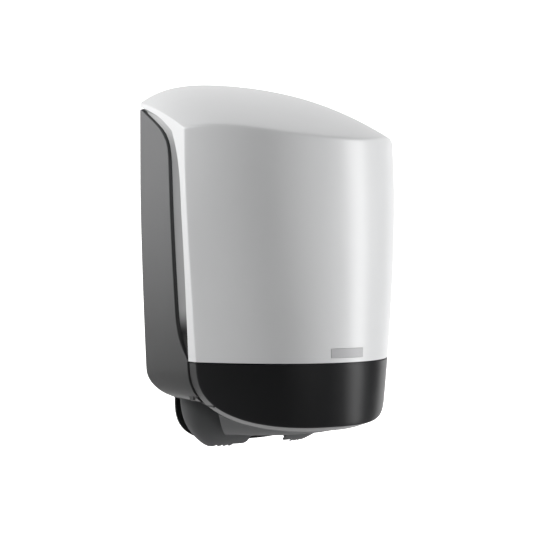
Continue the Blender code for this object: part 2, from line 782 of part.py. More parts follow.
def panel_edge(z):
    """Depth of the side panel's rolled front edge."""
    line = PANEL_SLOPE * max(WELD, PANEL_TOP_Z - z)
    depth = (line**-PANEL_POWER + PANEL_DEPTH**-PANEL_POWER) ** (-1.0 / PANEL_POWER)
    sweep_z = SEAM_Z + PANEL_SWEEP_RISE
    if z < sweep_z:
        depth += PANEL_SWEEP * ((sweep_z - max(z, SEAM_Z)) / PANEL_SWEEP_RISE) ** 1.8
    if z < SEAM_Z:
        depth = band_rear(z) - EDGE_GAP
    if z < HINGE_Z:
        depth = min(depth, swept_depth(z) - EDGE_STEP)
    return depth


def cover_rear(z):
    """Depth of the cover's or the band's rear edge beside the back shell."""
    if z < SEAM_Z:
        return band_rear(z)
    if z < FRONT_TOP_Z:
        return corner_depth(z) - strip_width(z)
    low, high = 0.0, corner_depth(FRONT_TOP_Z)
    for _ in range(24):
        middle = (low + high) / 2
        if lip_point(middle)[2] > z:
            low = middle
        else:
            high = middle
    return lip_point(low)[1]


def eased(share):
    share = min(1.0, max(0.0, share))
    return share * share * (3.0 - 2.0 * share)


def recess(z):
    """How far the finger recess goes in at this height."""
    least = WALL + RUN
    if z <= SEAM_Z:
        return least
    deep = least + (FLUTE_DEPTH - least) * eased((z - SEAM_Z) / FLUTE_RUN_LOW)
    return FLUTE_TOP + (deep - FLUTE_TOP) * eased((PANEL_TOP_Z - FLUTE_END - z) / FLUTE_RUN_HIGH)


def shell_ring(z, inset):
    """Half ring of the back shell at one height, from the back middle to the front middle."""
    heel = heel_depth(z)
    start = heel + BACK_WALL if inset else heel
    under_lip = z > under_lip_z
    edge = max(0.0 if under_lip else panel_edge(z), heel + EDGE_LEAST)
    rear = edge + PANEL_STEP
    if z < SEAM_Z:
        rear = edge + EDGE_STEP
    elif not under_lip:
        rear = max(rear, cover_rear(z) + RUN)
    front = rear + SHELL_LAND

    def wide(depth):
        base = half_width(min(depth, CORNER_DEPTH), z) - curl(z)
        return base - (FLUTE_TOP if under_lip else 0.0) - inset

    inner = wide(rear) - (0.0 if under_lip else recess(z))
    if z < SEAM_Z:
        inner = min(inner, band_half_width(z) - WALL - RUN - inset)
    edge_in = edge - inset
    roll = min(EDGE_ROLL, (edge_in - start) * 0.3)
    rear_in = rear - inset * 0.6
    bevel = min(PANEL_BEVEL, (edge_in - start) * 0.2)
    points = [(0.0, start), (wide(start) - bevel, start), (wide(start), start + bevel)]
    for share in (0.35, 0.68):
        depth = start + (edge_in - start) * share
        points.append((wide(depth), depth))
    before = (wide(edge_in - roll), edge_in - roll)
    corner = (wide(edge_in), edge_in)
    bend = min(EDGE_BEND, (wide(edge_in) - inner) * 0.6)
    after = (wide(edge_in) - bend, edge_in + GAP)
    points += [before, rounded(before, corner, after), after]
    if SEAM_Z < z < under_lip_z:
        points += [(after[0] + (inner - after[0]) * fallen, after[1] + (rear_in - after[1]) * share)
                   for share, fallen in GUTTER_SHARES]
    else:
        points += [blend(after, (inner, rear_in), share) for share, _ in GUTTER_SHARES]
    points.append((inner, rear_in))
    forward = front + (CAVITY_OVER if inset else 0.0)
    points.append((inner, forward))
    points.append((0.0, forward))
    return points


def shell_solid(name, levels, inset, look=None):
    rings = []
    for z in levels:
        half = shell_ring(z, inset)
        ring = [(x, -depth, z) for x, depth in half]
        ring += [(-x, -depth, z) for x, depth in half[-2:0:-1]]
        rings.append(ring)
    return loft(name, rings, look)


def above_top(name, drop):
    """Everything above the cover's top, lowered by a distance."""
    across = [-share for share in ROOF_ACROSS_SHARES[:0:-1]] + list(ROOF_ACROSS_SHARES)
    rows = []
    for i in range(7):
        depth = -ROOF_OVER + (CORNER_DEPTH + 3 * ROOF_OVER) * i / 6
        places = [(HALF_WIDTH + ROOF_OVER) * share for share in across]
        rows.append([(x, -depth, top_z(x, max(depth, 0.0)) - drop) for x in places])
    high = TOP_Z + CORNER_DEPTH
    return raised_sheet(name, rows, lambda point: (point[0], point[1], high))


levels = [BASE_Z + BASE_DROP * share for share in LOW_SHARES]
levels += [SEAM_Z + (under_lip_z - SEAM_Z) * share for share in HIGH_SHARES]
levels.append(PANEL_TOP_Z - UNDER_LIP / 2)
levels += [PANEL_TOP_Z + (TOP_Z - PANEL_TOP_Z) * share for share in ROOF_SHARES]
shell = shell_solid("back_shell", levels, 0.0, shell_grey)
cut(shell, above_top("over_roof", WALL + ROOF_GAP))
cavity_floor = BASE_Z + BACK_WALL
cavity_levels = [cavity_floor] + [z for z in levels if z > cavity_floor + SINK]
cavity = shell_solid("shell_cavity", cavity_levels, WALL)
cut(cavity, above_top("under_roof", WALL + ROOF_GAP + WALL))
cut(shell, cavity)

# Apron of the back plate behind the outlet

APRON_STEPS = 9
apron_wide = HALF_WIDTH - APRON_INSET
apron_bend_z = BASE_Z - APRON_BEND
apron_low_z = SEAM_Z - APRON_LENGTH


def apron_outline():
    points = [(apron_wide, BASE_Z + APRON_OVERLAP)]
    for i in range(APRON_STEPS + 1):
        angle = math.pi / 2 * i / APRON_STEPS
        x = apron_wide * math.cos(angle) ** (2.0 / 3.2)
        z = apron_bend_z - (apron_bend_z - apron_low_z) * math.sin(angle) ** (2.0 / 3.0)
        points.append((x, z))
    return points + [(-x, z) for x, z in points[-2::-1]]


join(shell, plate("apron", apron_outline(), -BACK_WALL, BACK_WALL, "Y"))

# Floor opening, slots for the hinge ears, hinge bosses and brackets

OPENING_FRONT = 0.1500
SLOT_GAP = 0.0008
SLOT_BACK = 0.0180             # the slot begins this far behind the hinge axis
SLOT_RISE = 0.0120
HINGE_BOSS_RADIUS = 0.0056
HINGE_BOSS_INSET = 0.0170
BRACKET_THICK = 0.0040
BRACKET_RADIUS = 0.0060
opening_wide = HALF_WIDTH - OPENING_INSET
cut(shell, box("floor_opening", (-opening_wide, -OPENING_FRONT, BASE_Z - OVER),
               (opening_wide, -OPENING_BACK, cavity_floor + SINK)))
for side, label in ((-1, "left"), (1, "right")):
    slot_half = EAR_THICK / 2 + SLOT_GAP
    cut(shell, box("ear_slot_%s" % label,
                   (side * EAR_X - slot_half, -(CORNER_DEPTH + SLOT_BACK), BASE_Z - OVER),
                   (side * EAR_X + slot_half, -(HINGE_DEPTH - SLOT_BACK), HINGE_Z + SLOT_RISE)))
for side, label in ((-1, "left"), (1, "right")):
    near = side * (EAR_X + EAR_THICK / 2 + GAP)
    join(shell, rod("hinge_boss_%s" % label, (near, -HINGE_DEPTH, HINGE_Z),
                    (side * (HALF_WIDTH - HINGE_BOSS_INSET), -HINGE_DEPTH, HINGE_Z), HINGE_BOSS_RADIUS))
    inner = side * (EAR_X - EAR_THICK / 2 - GAP)
    outline = arc((-HINGE_DEPTH, HINGE_Z), BRACKET_RADIUS, 0.0, 180.0, 8)
    outline.append((-HINGE_DEPTH - BRACKET_RADIUS, BASE_Z + SINK))
    outline.append((-HINGE_DEPTH + BRACKET_RADIUS, BASE_Z + SINK))
    join(shell, plate("hinge_bracket_%s" % label, outline, min(inner, inner - side * BRACKET_THICK),
                      BRACKET_THICK, "X"))
for side, label in ((-1, "left"), (1, "right")):
    start = (side * (EAR_X - 2 * EAR_THICK), -HINGE_DEPTH, HINGE_Z)
    end = (side * (EAR_X + PIN_LENGTH / 2 + SINK), -HINGE_DEPTH, HINGE_Z)
    cut(shell, rod("pin_hole_%s" % label, start, end, PIN_RADIUS + GAP, segments=20))

# Wall screw holes, tray screw holes, platform bosses and the button's hole

WALL_HOLE_INSET = 0.0450
WALL_HOLE_HEIGHTS = (0.1400, -0.0800)
WALL_HOLE_RADIUS = 0.0028
TRAY_SCREW_INSETS = (0.0430, 0.0480)
TRAY_SCREW_DEPTHS = (0.0430, 0.0680)
PLATFORM_SCREW_INSET = 0.0410
PLATFORM_SCREW_DEPTHS = (0.0550, 0.0880)
PILOT_FLOOR = 0.0016
PILOT_HEIGHT = 0.0200
BUTTON_GAP = 0.0005
for row, z in enumerate(WALL_HOLE_HEIGHTS):
    for side in (-1, 1):
        x = side * (HALF_WIDTH - WALL_HOLE_INSET)
        cut(shell, rod("wall_hole_%d_%d" % (row, side), (x, OVER, z), (x, -(BACK_WALL + OVER), z),
                       WALL_HOLE_RADIUS))
TRAY_SCREWS = [(side * (HALF_WIDTH - inset), depth)
               for inset, depth in zip(TRAY_SCREW_INSETS, TRAY_SCREW_DEPTHS) for side in (-1, 1)]
PLATFORM_SCREWS = [(side * (HALF_WIDTH - PLATFORM_SCREW_INSET), depth)
                   for depth in PLATFORM_SCREW_DEPTHS for side in (-1, 1)]
for number, (x, depth) in enumerate(TRAY_SCREWS):
    cut(shell, upright("tray_hole_%d" % number, x, depth, BASE_Z - OVER, cavity_floor + OVER, PILOT))
for number, (x, depth) in enumerate(PLATFORM_SCREWS):
    join(shell, upright("platform_boss_%d" % number, x, depth, BASE_Z + SINK,
                        PLATFORM_TOP_Z - PLATFORM_THICK - GAP, BOSS_RADIUS))
for number, (x, depth) in enumerate(PLATFORM_SCREWS):
    cut(shell, upright("platform_pilot_%d" % number, x, depth, BASE_Z + PILOT_FLOOR,
                       BASE_Z + PILOT_HEIGHT, PILOT))
button_wall = half_width(BUTTON_DEPTH, LATCH_Z)
cut(shell, rod("button_hole", (button_wall - 2 * OVER, -BUTTON_DEPTH, LATCH_Z),
               (button_wall + 2 * OVER, -BUTTON_DEPTH, LATCH_Z), BUTTON_RADIUS + BUTTON_GAP, segments=24))
smooth_edges(shell)

# Outlet tray: bowl with two serrated lobes and a front funnel under the band

tray_grey = material("tray_grey", (0.150, 0.152, 0.155), 0.5)
BOWL_SHARES = (0.0, 0.18, 0.38, 0.58, 0.76, 0.90, 1.0)
BOWL_POINTS = 32


def bowl_rings(inset, top, bottom):
    rings = []
    for share in BOWL_SHARES:
        z = top + (bottom - top) * share
        down = min(1.0, max(0.0, (TRAY_TOP_Z - z) / (TRAY_TOP_Z - BOWL_LOW_Z)))
        shrink = 1.0 - (1.0 - down**2.4) ** 0.85
        half_x = BOWL_HALF_X - BOWL_FOOT_IN * shrink - inset
        half_y = BOWL_HALF_Y + (BOWL_FOOT_HALF_Y - BOWL_HALF_Y) * shrink - inset
        centre = BOWL_CENTRE + BOWL_FOOT_SHIFT * shrink
        rings.append(oval(half_x, half_y, centre, z, BOWL_POWER, BOWL_POINTS))
    return rings


tray = loft("outlet_tray", bowl_rings(0.0, TRAY_TOP_Z, BOWL_LOW_Z), tray_grey)
FUNNEL_COLUMNS = 16
FUNNEL_ROWS = 4
FUNNEL_INSET = 0.0325
FUNNEL_RIM_HALF = 0.0500
FUNNEL_RIM_DEPTH = 0.0800
FUNNEL_RIM_RISE = 0.0020
FUNNEL_GAP = 0.0030
FUNNEL_SAG = 0.0035
FUNNEL_OVERLAP = 0.0006


def funnel_point(across, share):
    """Point of the funnel's underside, from the band's return to the bowl."""
    x_out = across * (HALF_WIDTH - FUNNEL_INSET)
    z_out = band_low_z(x_out) + FUNNEL_OVERLAP
    outer = (x_out, front_depth(x_out, z_out) - RETURN_DEPTH - FUNNEL_GAP, z_out - return_drop(x_out))
    inner = (across * FUNNEL_RIM_HALF, FUNNEL_RIM_DEPTH, ARCH_TOP_Z + FUNNEL_RIM_RISE)
    x, depth, z = blend(outer, inner, share)
    return (x, depth, z - FUNNEL_SAG * math.sin(math.pi * share))


funnel_rows = [
    [to_world(funnel_point(-1.0 + 2.0 * j / FUNNEL_COLUMNS, i / FUNNEL_ROWS))
     for j in range(FUNNEL_COLUMNS + 1)]
    for i in range(FUNNEL_ROWS + 1)
]
join(tray, raised_sheet("front_funnel", funnel_rows, lambda point: (point[0], point[1], point[2] + WALL)))
cut(tray, loft("bowl_inside", bowl_rings(WALL, TRAY_TOP_Z - FLANGE_THICK, BOWL_LOW_Z - OVER)))
GATE_HALF_WIDTH = 0.0400
GATE_DEPTHS = (0.0700, 0.0960)
GATE_HEIGHT = 0.0260
TRAY_OPENING_FRONT = 0.0830
TRAY_OPENING_HEIGHT = 0.0080
cut(tray, box("chute_gate", (-GATE_HALF_WIDTH, -GATE_DEPTHS[1], TRAY_TOP_Z - GATE_HEIGHT),
              (GATE_HALF_WIDTH, -GATE_DEPTHS[0], TRAY_TOP_Z + OVER)))
cut(tray, box("tray_opening", (-opening_wide, -TRAY_OPENING_FRONT, TRAY_TOP_Z - TRAY_OPENING_HEIGHT),
              (opening_wide, -OPENING_BACK, TRAY_TOP_Z + OVER)))

# Tear outlet: front-to-back arch between the lobes, and a saw line under each lobe

ARCH_FRONT = 0.1200
ARCH_BACK = 0.0030
KNOB_ROUND = 0.0012
KNOB_SHOULDER = 0.0040
TOOTH_SKIM = 0.0002


def arch_outline():
    """Open below."""
    points = [(ARCH_HALF_WIDTH, BOWL_LOW_Z - 2 * OVER)]
    points += [(ARCH_HALF_WIDTH * math.cos(math.pi * i / 10),
                ARCH_TOP_Z + ARCH_ROUND * (math.sin(math.pi * i / 10) - 1.0)) for i in range(11)]
    points.append((-ARCH_HALF_WIDTH, BOWL_LOW_Z - 2 * OVER))
    return points


def tooth_outline(side):
    """Saw line under one lobe, and the smooth step of its rounded inner end."""
    low = BOWL_LOW_Z + TOOTH_SKIM
    knob = BOWL_LOW_Z + KNOB_RISE
    points = [(side * BOWL_HALF_X, BOWL_LOW_Z - 2 * OVER)]
    x = BOWL_HALF_X - BOWL_FOOT_IN + 2 * TOOTH_PITCH
    while x > ARCH_HALF_WIDTH + KNOB_WIDTH:
        points.append((side * x, low))
        points.append((side * (x - TOOTH_PITCH * 0.6), BOWL_LOW_Z + TOOTH_HEIGHT))
        x -= TOOTH_PITCH
    points.append((side * x, low))
    points.append((side * (x - KNOB_ROUND), knob))
    points.append((side * (ARCH_HALF_WIDTH + KNOB_SHOULDER), knob))
    points.append((side * (ARCH_HALF_WIDTH + KNOB_ROUND), knob + KNOB_ROUND))
    points.append((side * (ARCH_HALF_WIDTH - KNOB_ROUND), knob + KNOB_SHOULDER))
    points.append((side * (ARCH_HALF_WIDTH - KNOB_ROUND), BOWL_LOW_Z - 2 * OVER))
    return points


cut(tray, plate("outlet_arch", arch_outline(), -ARCH_FRONT, ARCH_FRONT - ARCH_BACK, "Y"))
for side, label in ((-1, "left"), (1, "right")):
    cut(tray, plate("tear_teeth_%s" % label, tooth_outline(side), -(ARCH_FRONT + SINK),
                    ARCH_FRONT - ARCH_BACK, "Y"))
TRAY_BOSS_HEIGHT = 0.0120
TRAY_BOSS_RADIUS = 0.0038
TRAY_PILOT_HEIGHT = 0.0105
for number, (x, depth) in enumerate(TRAY_SCREWS):
    join(tray, upright("tray_boss_%d" % number, x, depth, TRAY_TOP_Z - TRAY_BOSS_HEIGHT,
                       TRAY_TOP_Z - SINK, TRAY_BOSS_RADIUS))
for number, (x, depth) in enumerate(TRAY_SCREWS):
    cut(tray, upright("tray_pilot_%d" % number, x, depth, TRAY_TOP_Z - TRAY_PILOT_HEIGHT,
                      TRAY_TOP_Z + OVER, PILOT))
POST_ACROSS_SHARE = 0.61
POST_SHARE = 0.27
POST_HEIGHT = 0.0090
POST_RADIUS = 0.0040
post_x, post_depth, post_low_z = funnel_point(POST_ACROSS_SHARE, POST_SHARE)
post_z = post_low_z + WALL + POST_HEIGHT
for side, label in ((-1, "left"), (1, "right")):
    join(tray, upright("tray_post_%s" % label, side * post_x, post_depth, post_low_z + WALL / 2, post_z,
                       POST_RADIUS, segments=14))
smooth_edges(tray)

# Roll platform: flat shelf over the outlet, with two front legs and sunk screw seats

platform_grey = material("platform_grey", (0.30, 0.30, 0.31), 0.55)
CHUTE_SETBACK = 0.0265         # front corner back to the chute's centre, under the roll's core
CHUTE_HALF_X = 0.0330
CHUTE_HALF_Y = 0.0300
CHUTE_FOOT_SHIFT = 0.0470      # the foot stands this far behind the mouth
CHUTE_FOOT_RADIUS = 0.0190
CHUTE_DROP = 0.0420
CHUTE_WALL = 0.0022
CHUTE_RIM = 0.0040
CHUTE_RIM_DEPTH = 0.0020
CHUTE_POINTS = 24
PLATFORM_STEPS = 18
SUNK_DEPTH = SCREW_HEAD_HEIGHT + 2 * GAP
chute_centre = CORNER_DEPTH - CHUTE_SETBACK


def platform_outline():
    wide = HALF_WIDTH - PLATFORM_INSET
    points = []
    for i in range(PLATFORM_STEPS + 1):
        x = wide * (-1.0 + 2.0 * i / PLATFORM_STEPS)
        points.append((x, PLATFORM_SETBACK - front_depth(x, PLATFORM_TOP_Z)))
    return points + [(wide, -PLATFORM_BACK), (-wide, -PLATFORM_BACK)]


def upright_oval(name, half_x, half_y, low, high):
    return loft(name, [oval(half_x, half_y, chute_centre, z, 2.0, CHUTE_POINTS) for z in (low, high)])


platform = plate("roll_platform", platform_outline(), PLATFORM_TOP_Z - PLATFORM_THICK, PLATFORM_THICK,
                 look=platform_grey)
for side, label in ((-1, "left"), (1, "right")):
    join(platform, upright("platform_leg_%s" % label, side * post_x, post_depth, post_z + GAP,
                           PLATFORM_TOP_Z - SINK, POST_RADIUS, segments=14))
cut(platform, upright_oval("chute_hole", CHUTE_HALF_X + GAP, CHUTE_HALF_Y + GAP,
                           PLATFORM_TOP_Z - 2 * OVER, PLATFORM_TOP_Z + OVER))
cut(platform, upright_oval("chute_seat", CHUTE_HALF_X + CHUTE_RIM + GAP, CHUTE_HALF_Y + CHUTE_RIM + GAP,
                           PLATFORM_TOP_Z - CHUTE_RIM_DEPTH, PLATFORM_TOP_Z + OVER))
for number, (x, depth) in enumerate(PLATFORM_SCREWS):
    cut(platform, upright("platform_sink_%d" % number, x, depth, PLATFORM_TOP_Z - SUNK_DEPTH,
                          PLATFORM_TOP_Z + OVER, SCREW_HEAD + 2 * GAP))
    cut(platform, upright("platform_hole_%d" % number, x, depth, PLATFORM_TOP_Z - 2 * OVER,
                          PLATFORM_TOP_Z + SINK, PILOT))
smooth_edges(platform)

# Paper chute: oval mouth in the platform, running down and back to the outlet

chute_white = material("chute_white", (0.62, 0.62, 0.62), 0.45)


def chute_ring(share, inset, flare=0.0):
    half_x = CHUTE_HALF_X + (CHUTE_FOOT_RADIUS - CHUTE_HALF_X) * share - inset + flare
    half_y = CHUTE_HALF_Y + (CHUTE_FOOT_RADIUS - CHUTE_HALF_Y) * share - inset + flare
    z = PLATFORM_TOP_Z - PLATFORM_THICK - (CHUTE_DROP - PLATFORM_THICK) * share
    return oval(half_x, half_y, chute_centre - CHUTE_FOOT_SHIFT * share, z, 2.0, CHUTE_POINTS)


def lifted(ring, z):
    return [(x, y, z) for x, y, _ in ring]


rim_low = PLATFORM_TOP_Z - CHUTE_RIM_DEPTH + GAP
chute = loft("paper_chute", [
    lifted(chute_ring(0.0, 0.0, CHUTE_RIM), PLATFORM_TOP_Z - GAP),
    lifted(chute_ring(0.0, 0.0, CHUTE_RIM), rim_low),
    lifted(chute_ring(0.0, 0.0), rim_low),
    chute_ring(0.0, 0.0),
    chute_ring(0.5, 0.0),
    chute_ring(1.0, 0.0),
], chute_white)
cut(chute, loft("chute_bore", [
    lifted(chute_ring(0.0, CHUTE_WALL), PLATFORM_TOP_Z + OVER),
    lifted(chute_ring(0.0, CHUTE_WALL), PLATFORM_TOP_Z - SINK),
    chute_ring(0.0, CHUTE_WALL),
    chute_ring(0.5, CHUTE_WALL),
    chute_ring(1.0, CHUTE_WALL),
    lifted(chute_ring(1.0, CHUTE_WALL), PLATFORM_TOP_Z - CHUTE_DROP - OVER),
]))
smooth_edges(chute)

# Hinge pins

steel = material("zinc_steel", (0.62, 0.62, 0.63), 0.35, 1.0)
for side, label in ((-1, "left"), (1, "right")):
    pin = rod("hinge_pin_%s" % label,
              (side * (EAR_X - PIN_LENGTH / 2), -HINGE_DEPTH, HINGE_Z),
              (side * (EAR_X + PIN_LENGTH / 2), -HINGE_DEPTH, HINGE_Z), PIN_RADIUS, steel, segments=16)
    smooth_edges(pin)

# Screws: turned pan heads, all of one form

PLATFORM_SCREW_LENGTH = 0.0085
BRACKET_SCREW_LENGTH = 0.0038
KEEPER_SCREW_LENGTH = 0.0095


def screw(name, place, length, turn=0.0):
    """Head towards +Z, turned about X by an angle in degrees."""
    profile = (
        (0.0, SCREW_HEAD_HEIGHT),
        (SCREW_HEAD * 0.68, SCREW_HEAD_HEIGHT),
        (SCREW_HEAD, SCREW_HEAD_HEIGHT * 0.4),
        (SCREW_HEAD, 0.0),
        (SCREW_SHANK, 0.0),
        (SCREW_SHANK, SCREW_TIP - length),
        (0.0, -length),
    )
    mesh = bpy.data.meshes.new(name)
    mesh.from_pydata([(radius, 0.0, height) for radius, height in profile],
                     [(i, i + 1) for i in range(len(profile) - 1)], [])
    obj = add(name, mesh, steel)
    spin = obj.modifiers.new("turn", "SCREW")
    spin.steps = SCREW_STEPS
    spin.render_steps = SCREW_STEPS
    spin.use_merge_vertices = True
    spin.merge_threshold = WELD
    obj.location = place
    obj.rotation_euler = (math.radians(turn), 0.0, 0.0)
    obj.data.shade_smooth()
    return obj


SIDE_NAMES = ("outer_left", "inner_left", "inner_right", "outer_right")
for label, x in zip(SIDE_NAMES, BAND_SCREW_X):
    screw("band_screw_%s" % label, (x, -band_screw_depth(x), PAD_LOW_Z - GAP), SCREW_LENGTH, 180.0)
QUARTER_NAMES = ("rear_left", "rear_right", "front_left", "front_right")
for label, (x, depth) in zip(QUARTER_NAMES, TRAY_SCREWS):
    screw("tray_screw_%s" % label, (x, -depth, cavity_floor + GAP), SCREW_LENGTH)
for label, (x, depth) in zip(QUARTER_NAMES, PLATFORM_SCREWS):
    screw("platform_screw_%s" % label, (x, -depth, PLATFORM_TOP_Z - SUNK_DEPTH + GAP), PLATFORM_SCREW_LENGTH)

# Latch: bracket on the back plate with the sliding plate in it

latch_black = material("latch_black", (0.022, 0.022, 0.024), 0.5)
LATCH_STEP = 0.0135            # button's line to the middle of the slide
SLIDE_THICK = 0.0030
SLIDE_HALF_HEIGHT = 0.0100
WINDOW_LENGTH = 0.0120
WINDOW_HALF_HEIGHT = 0.0065
BRACKET_PAST_LEFT = 0.0240     # bracket's end, past the slide's left end
BRACKET_SHORT_RIGHT = 0.0055   # and short of its right end
BRACKET_WALL = 0.0024
BRACKET_SCREW_ENDS = (0.0120, 0.0100)
RAIL = 0.0022
SLIDE_GAP = 0.0004
latch_depth = BUTTON_DEPTH + LATCH_STEP
slide_left = SLIDE_RIGHT - SLIDE_LENGTH
slide_back = latch_depth - SLIDE_THICK / 2
slide_front = latch_depth + SLIDE_THICK / 2
window_right = WINDOW_LEFT + WINDOW_LENGTH
bracket_left = slide_left - BRACKET_PAST_LEFT
bracket_right = SLIDE_RIGHT - BRACKET_SHORT_RIGHT
bracket_end = bracket_right + BRACKET_WALL
room_left = bracket_left + BRACKET_WALL
room_half = SLIDE_HALF_HEIGHT + SLIDE_GAP
bracket_half = room_half + BRACKET_WALL
bracket_back = BACK_WALL + GAP
bracket_front = slide_front + SLIDE_GAP + RAIL
rail_half = SLIDE_HALF_HEIGHT - RAIL
bracket = box("latch_bracket", (bracket_left, -bracket_front, LATCH_Z - bracket_half),
              (bracket_right, -bracket_back, LATCH_Z + bracket_half), latch_black)
cut(bracket, box("bracket_room",
                 (room_left, -(slide_back - SLIDE_GAP - RAIL), LATCH_Z - room_half),
                 (bracket_end, -(bracket_back + BRACKET_WALL), LATCH_Z + room_half)))
cut(bracket, box("bracket_front_gap",
                 (room_left, -(bracket_front + RAIL), LATCH_Z - rail_half),
                 (bracket_end, -(bracket_back + 2 * BRACKET_WALL), LATCH_Z + rail_half)))
cut(bracket, box("slide_room",
                 (room_left, -(slide_front + SLIDE_GAP), LATCH_Z - room_half),
                 (bracket_end, -(slide_back - SLIDE_GAP), LATCH_Z + room_half)))
BRACKET_SCREWS = (bracket_left + BRACKET_SCREW_ENDS[0], bracket_right - BRACKET_SCREW_ENDS[1])
for number, x in enumerate(BRACKET_SCREWS):
    cut(bracket, rod("bracket_hole_%d" % number, (x, SINK, LATCH_Z), (x, -3 * BACK_WALL, LATCH_Z), PILOT))
    cut(shell, rod("bracket_pilot_%d" % number, (x, -BACK_WALL * 0.4, LATCH_Z), (x, -3 * BACK_WALL, LATCH_Z),
                   PILOT))
for label, x in zip(("left", "right"), BRACKET_SCREWS):
    screw("bracket_screw_%s" % label, (x, -(bracket_back + BRACKET_WALL + GAP), LATCH_Z),
          BRACKET_SCREW_LENGTH, 90.0)

slide_grey = material("slide_grey", (0.35, 0.35, 0.36), 0.4)
slide = box("latch_slide", (slide_left, -slide_front, LATCH_Z - SLIDE_HALF_HEIGHT),
            (SLIDE_RIGHT, -slide_back, LATCH_Z + SLIDE_HALF_HEIGHT), slide_grey)
cut(slide, box("slide_window", (WINDOW_LEFT, -(slide_front + SINK), LATCH_Z - WINDOW_HALF_HEIGHT),
               (window_right, -(slide_back - SINK), LATCH_Z + WINDOW_HALF_HEIGHT)))

# Return spring between the bracket's end and the slide

SPRING_RADIUS = 0.0034
SPRING_WIRE = 0.00045
SPRING_TURNS = 7
SPRING_STEPS = 9
spring_left = room_left + GAP + SPRING_WIRE
spring_right = slide_left - GAP - SPRING_WIRE
coil = bpy.data.curves.new("latch_spring", "CURVE")
coil.dimensions = "3D"
coil.bevel_depth = SPRING_WIRE
coil.bevel_resolution = 0
coil.use_fill_caps = True
line = coil.splines.new("POLY")
coil_points = SPRING_TURNS * SPRING_STEPS
line.points.add(coil_points)
for i, point in enumerate(line.points):
    share = i / coil_points
    angle = 2 * math.pi * SPRING_TURNS * share
    point.co = (spring_left + (spring_right - spring_left) * share,
                SPRING_RADIUS * math.cos(angle) - latch_depth,
                LATCH_Z + SPRING_RADIUS * math.sin(angle), 1.0)
spring = bpy.data.objects.new("latch_spring", coil)
parts.objects.link(spring)
coil.materials.append(steel)

# Release button, with a foot against the slide and a key barrel that turns in it

BUTTON_PROUD = 0.0048
BUTTON_BACK = 0.0072           # wall's outer face to the button's inner end
RIM_OVER = 0.0020
RIM_THICK = 0.0016
BARREL_RADIUS = 0.0052
BARREL_BACK = 0.0090
TAIL_RADIUS = 0.0024
CAM_THICK = 0.0022
CAM_REACH = 0.0150
CAM_HALF_WIDTH = 0.0034
FOOT_SETS = (0.0066, 0.0146)   # foot, from the button's line forwards
FOOT_HALF_HEIGHT = 0.0070
KEY_HALF_WIDTH = 0.0009
KEY_HALF_HEIGHT = 0.0034
KEY_DEPTH = 0.0060
button_end = button_wall + BUTTON_PROUD
button_start = button_wall - BUTTON_BACK
rim_high = button_wall - WALL - GAP
barrel_start = button_wall - BARREL_BACK
barrel_end = button_end - GAP
cam_high = barrel_start - GAP
cam_low = cam_high - CAM_THICK


def cross_rod(name, low, high, radius, look=None, segments=24):
    """Rod along X on the button's line."""
    return rod(name, (low, -BUTTON_DEPTH, LATCH_Z), (high, -BUTTON_DEPTH, LATCH_Z), radius, look, segments)


button_grey = material("button_grey", (0.20, 0.20, 0.21), 0.45)
button = cross_rod("release_button", button_start, button_end, BUTTON_RADIUS, button_grey)
join(button, cross_rod("button_rim", rim_high - RIM_THICK, rim_high, BUTTON_RADIUS + RIM_OVER))
join(button, box("button_foot",
                 (SLIDE_RIGHT + GAP, -(BUTTON_DEPTH + FOOT_SETS[1]), LATCH_Z - FOOT_HALF_HEIGHT),
                 (rim_high - RIM_THICK / 2, -(BUTTON_DEPTH + FOOT_SETS[0]), LATCH_Z + FOOT_HALF_HEIGHT)))
cut(button, cross_rod("barrel_bore", button_start - OVER, button_end + OVER, BARREL_RADIUS + GAP))
smooth_edges(button)

barrel = cross_rod("lock_barrel", barrel_start, barrel_end, BARREL_RADIUS, steel)
join(barrel, cross_rod("barrel_tail", cam_low - GAP, barrel_start + CAM_THICK, TAIL_RADIUS, segments=16))
cut(barrel, box("key_slot",
                (barrel_end - KEY_DEPTH, -(BUTTON_DEPTH + KEY_HALF_WIDTH), LATCH_Z - KEY_HALF_HEIGHT),
                (barrel_end + SINK, KEY_HALF_WIDTH - BUTTON_DEPTH, LATCH_Z + KEY_HALF_HEIGHT)))
smooth_edges(barrel)

cam_outline = arc((-BUTTON_DEPTH, LATCH_Z), BARREL_RADIUS, 180.0, 360.0, 10)
cam_outline += [(CAM_HALF_WIDTH - BUTTON_DEPTH, LATCH_Z + CAM_REACH),
                (-CAM_HALF_WIDTH - BUTTON_DEPTH, LATCH_Z + CAM_REACH)]
cam = plate("lock_cam", cam_outline, cam_low, CAM_THICK, "X", look=steel)
cut(cam, cross_rod("cam_hole", cam_low - OVER, cam_high + SINK, TAIL_RADIUS + GAP / 2, segments=16))

# Stop rib for the cam on the back plate

STOP_HALF_HEIGHT = 0.0050
STOP_THICK = 0.0030
STOP_REACH = 0.0300
stop_high = cam_low - 2 * GAP - BUTTON_TRAVEL
join(shell, box("lock_stop", (stop_high - STOP_THICK, -STOP_REACH, LATCH_Z - STOP_HALF_HEIGHT),
                (stop_high, -BACK_WALL / 2, LATCH_Z + STOP_HALF_HEIGHT)))

# Cover keeper: arm with a barb that snaps behind the slide's window

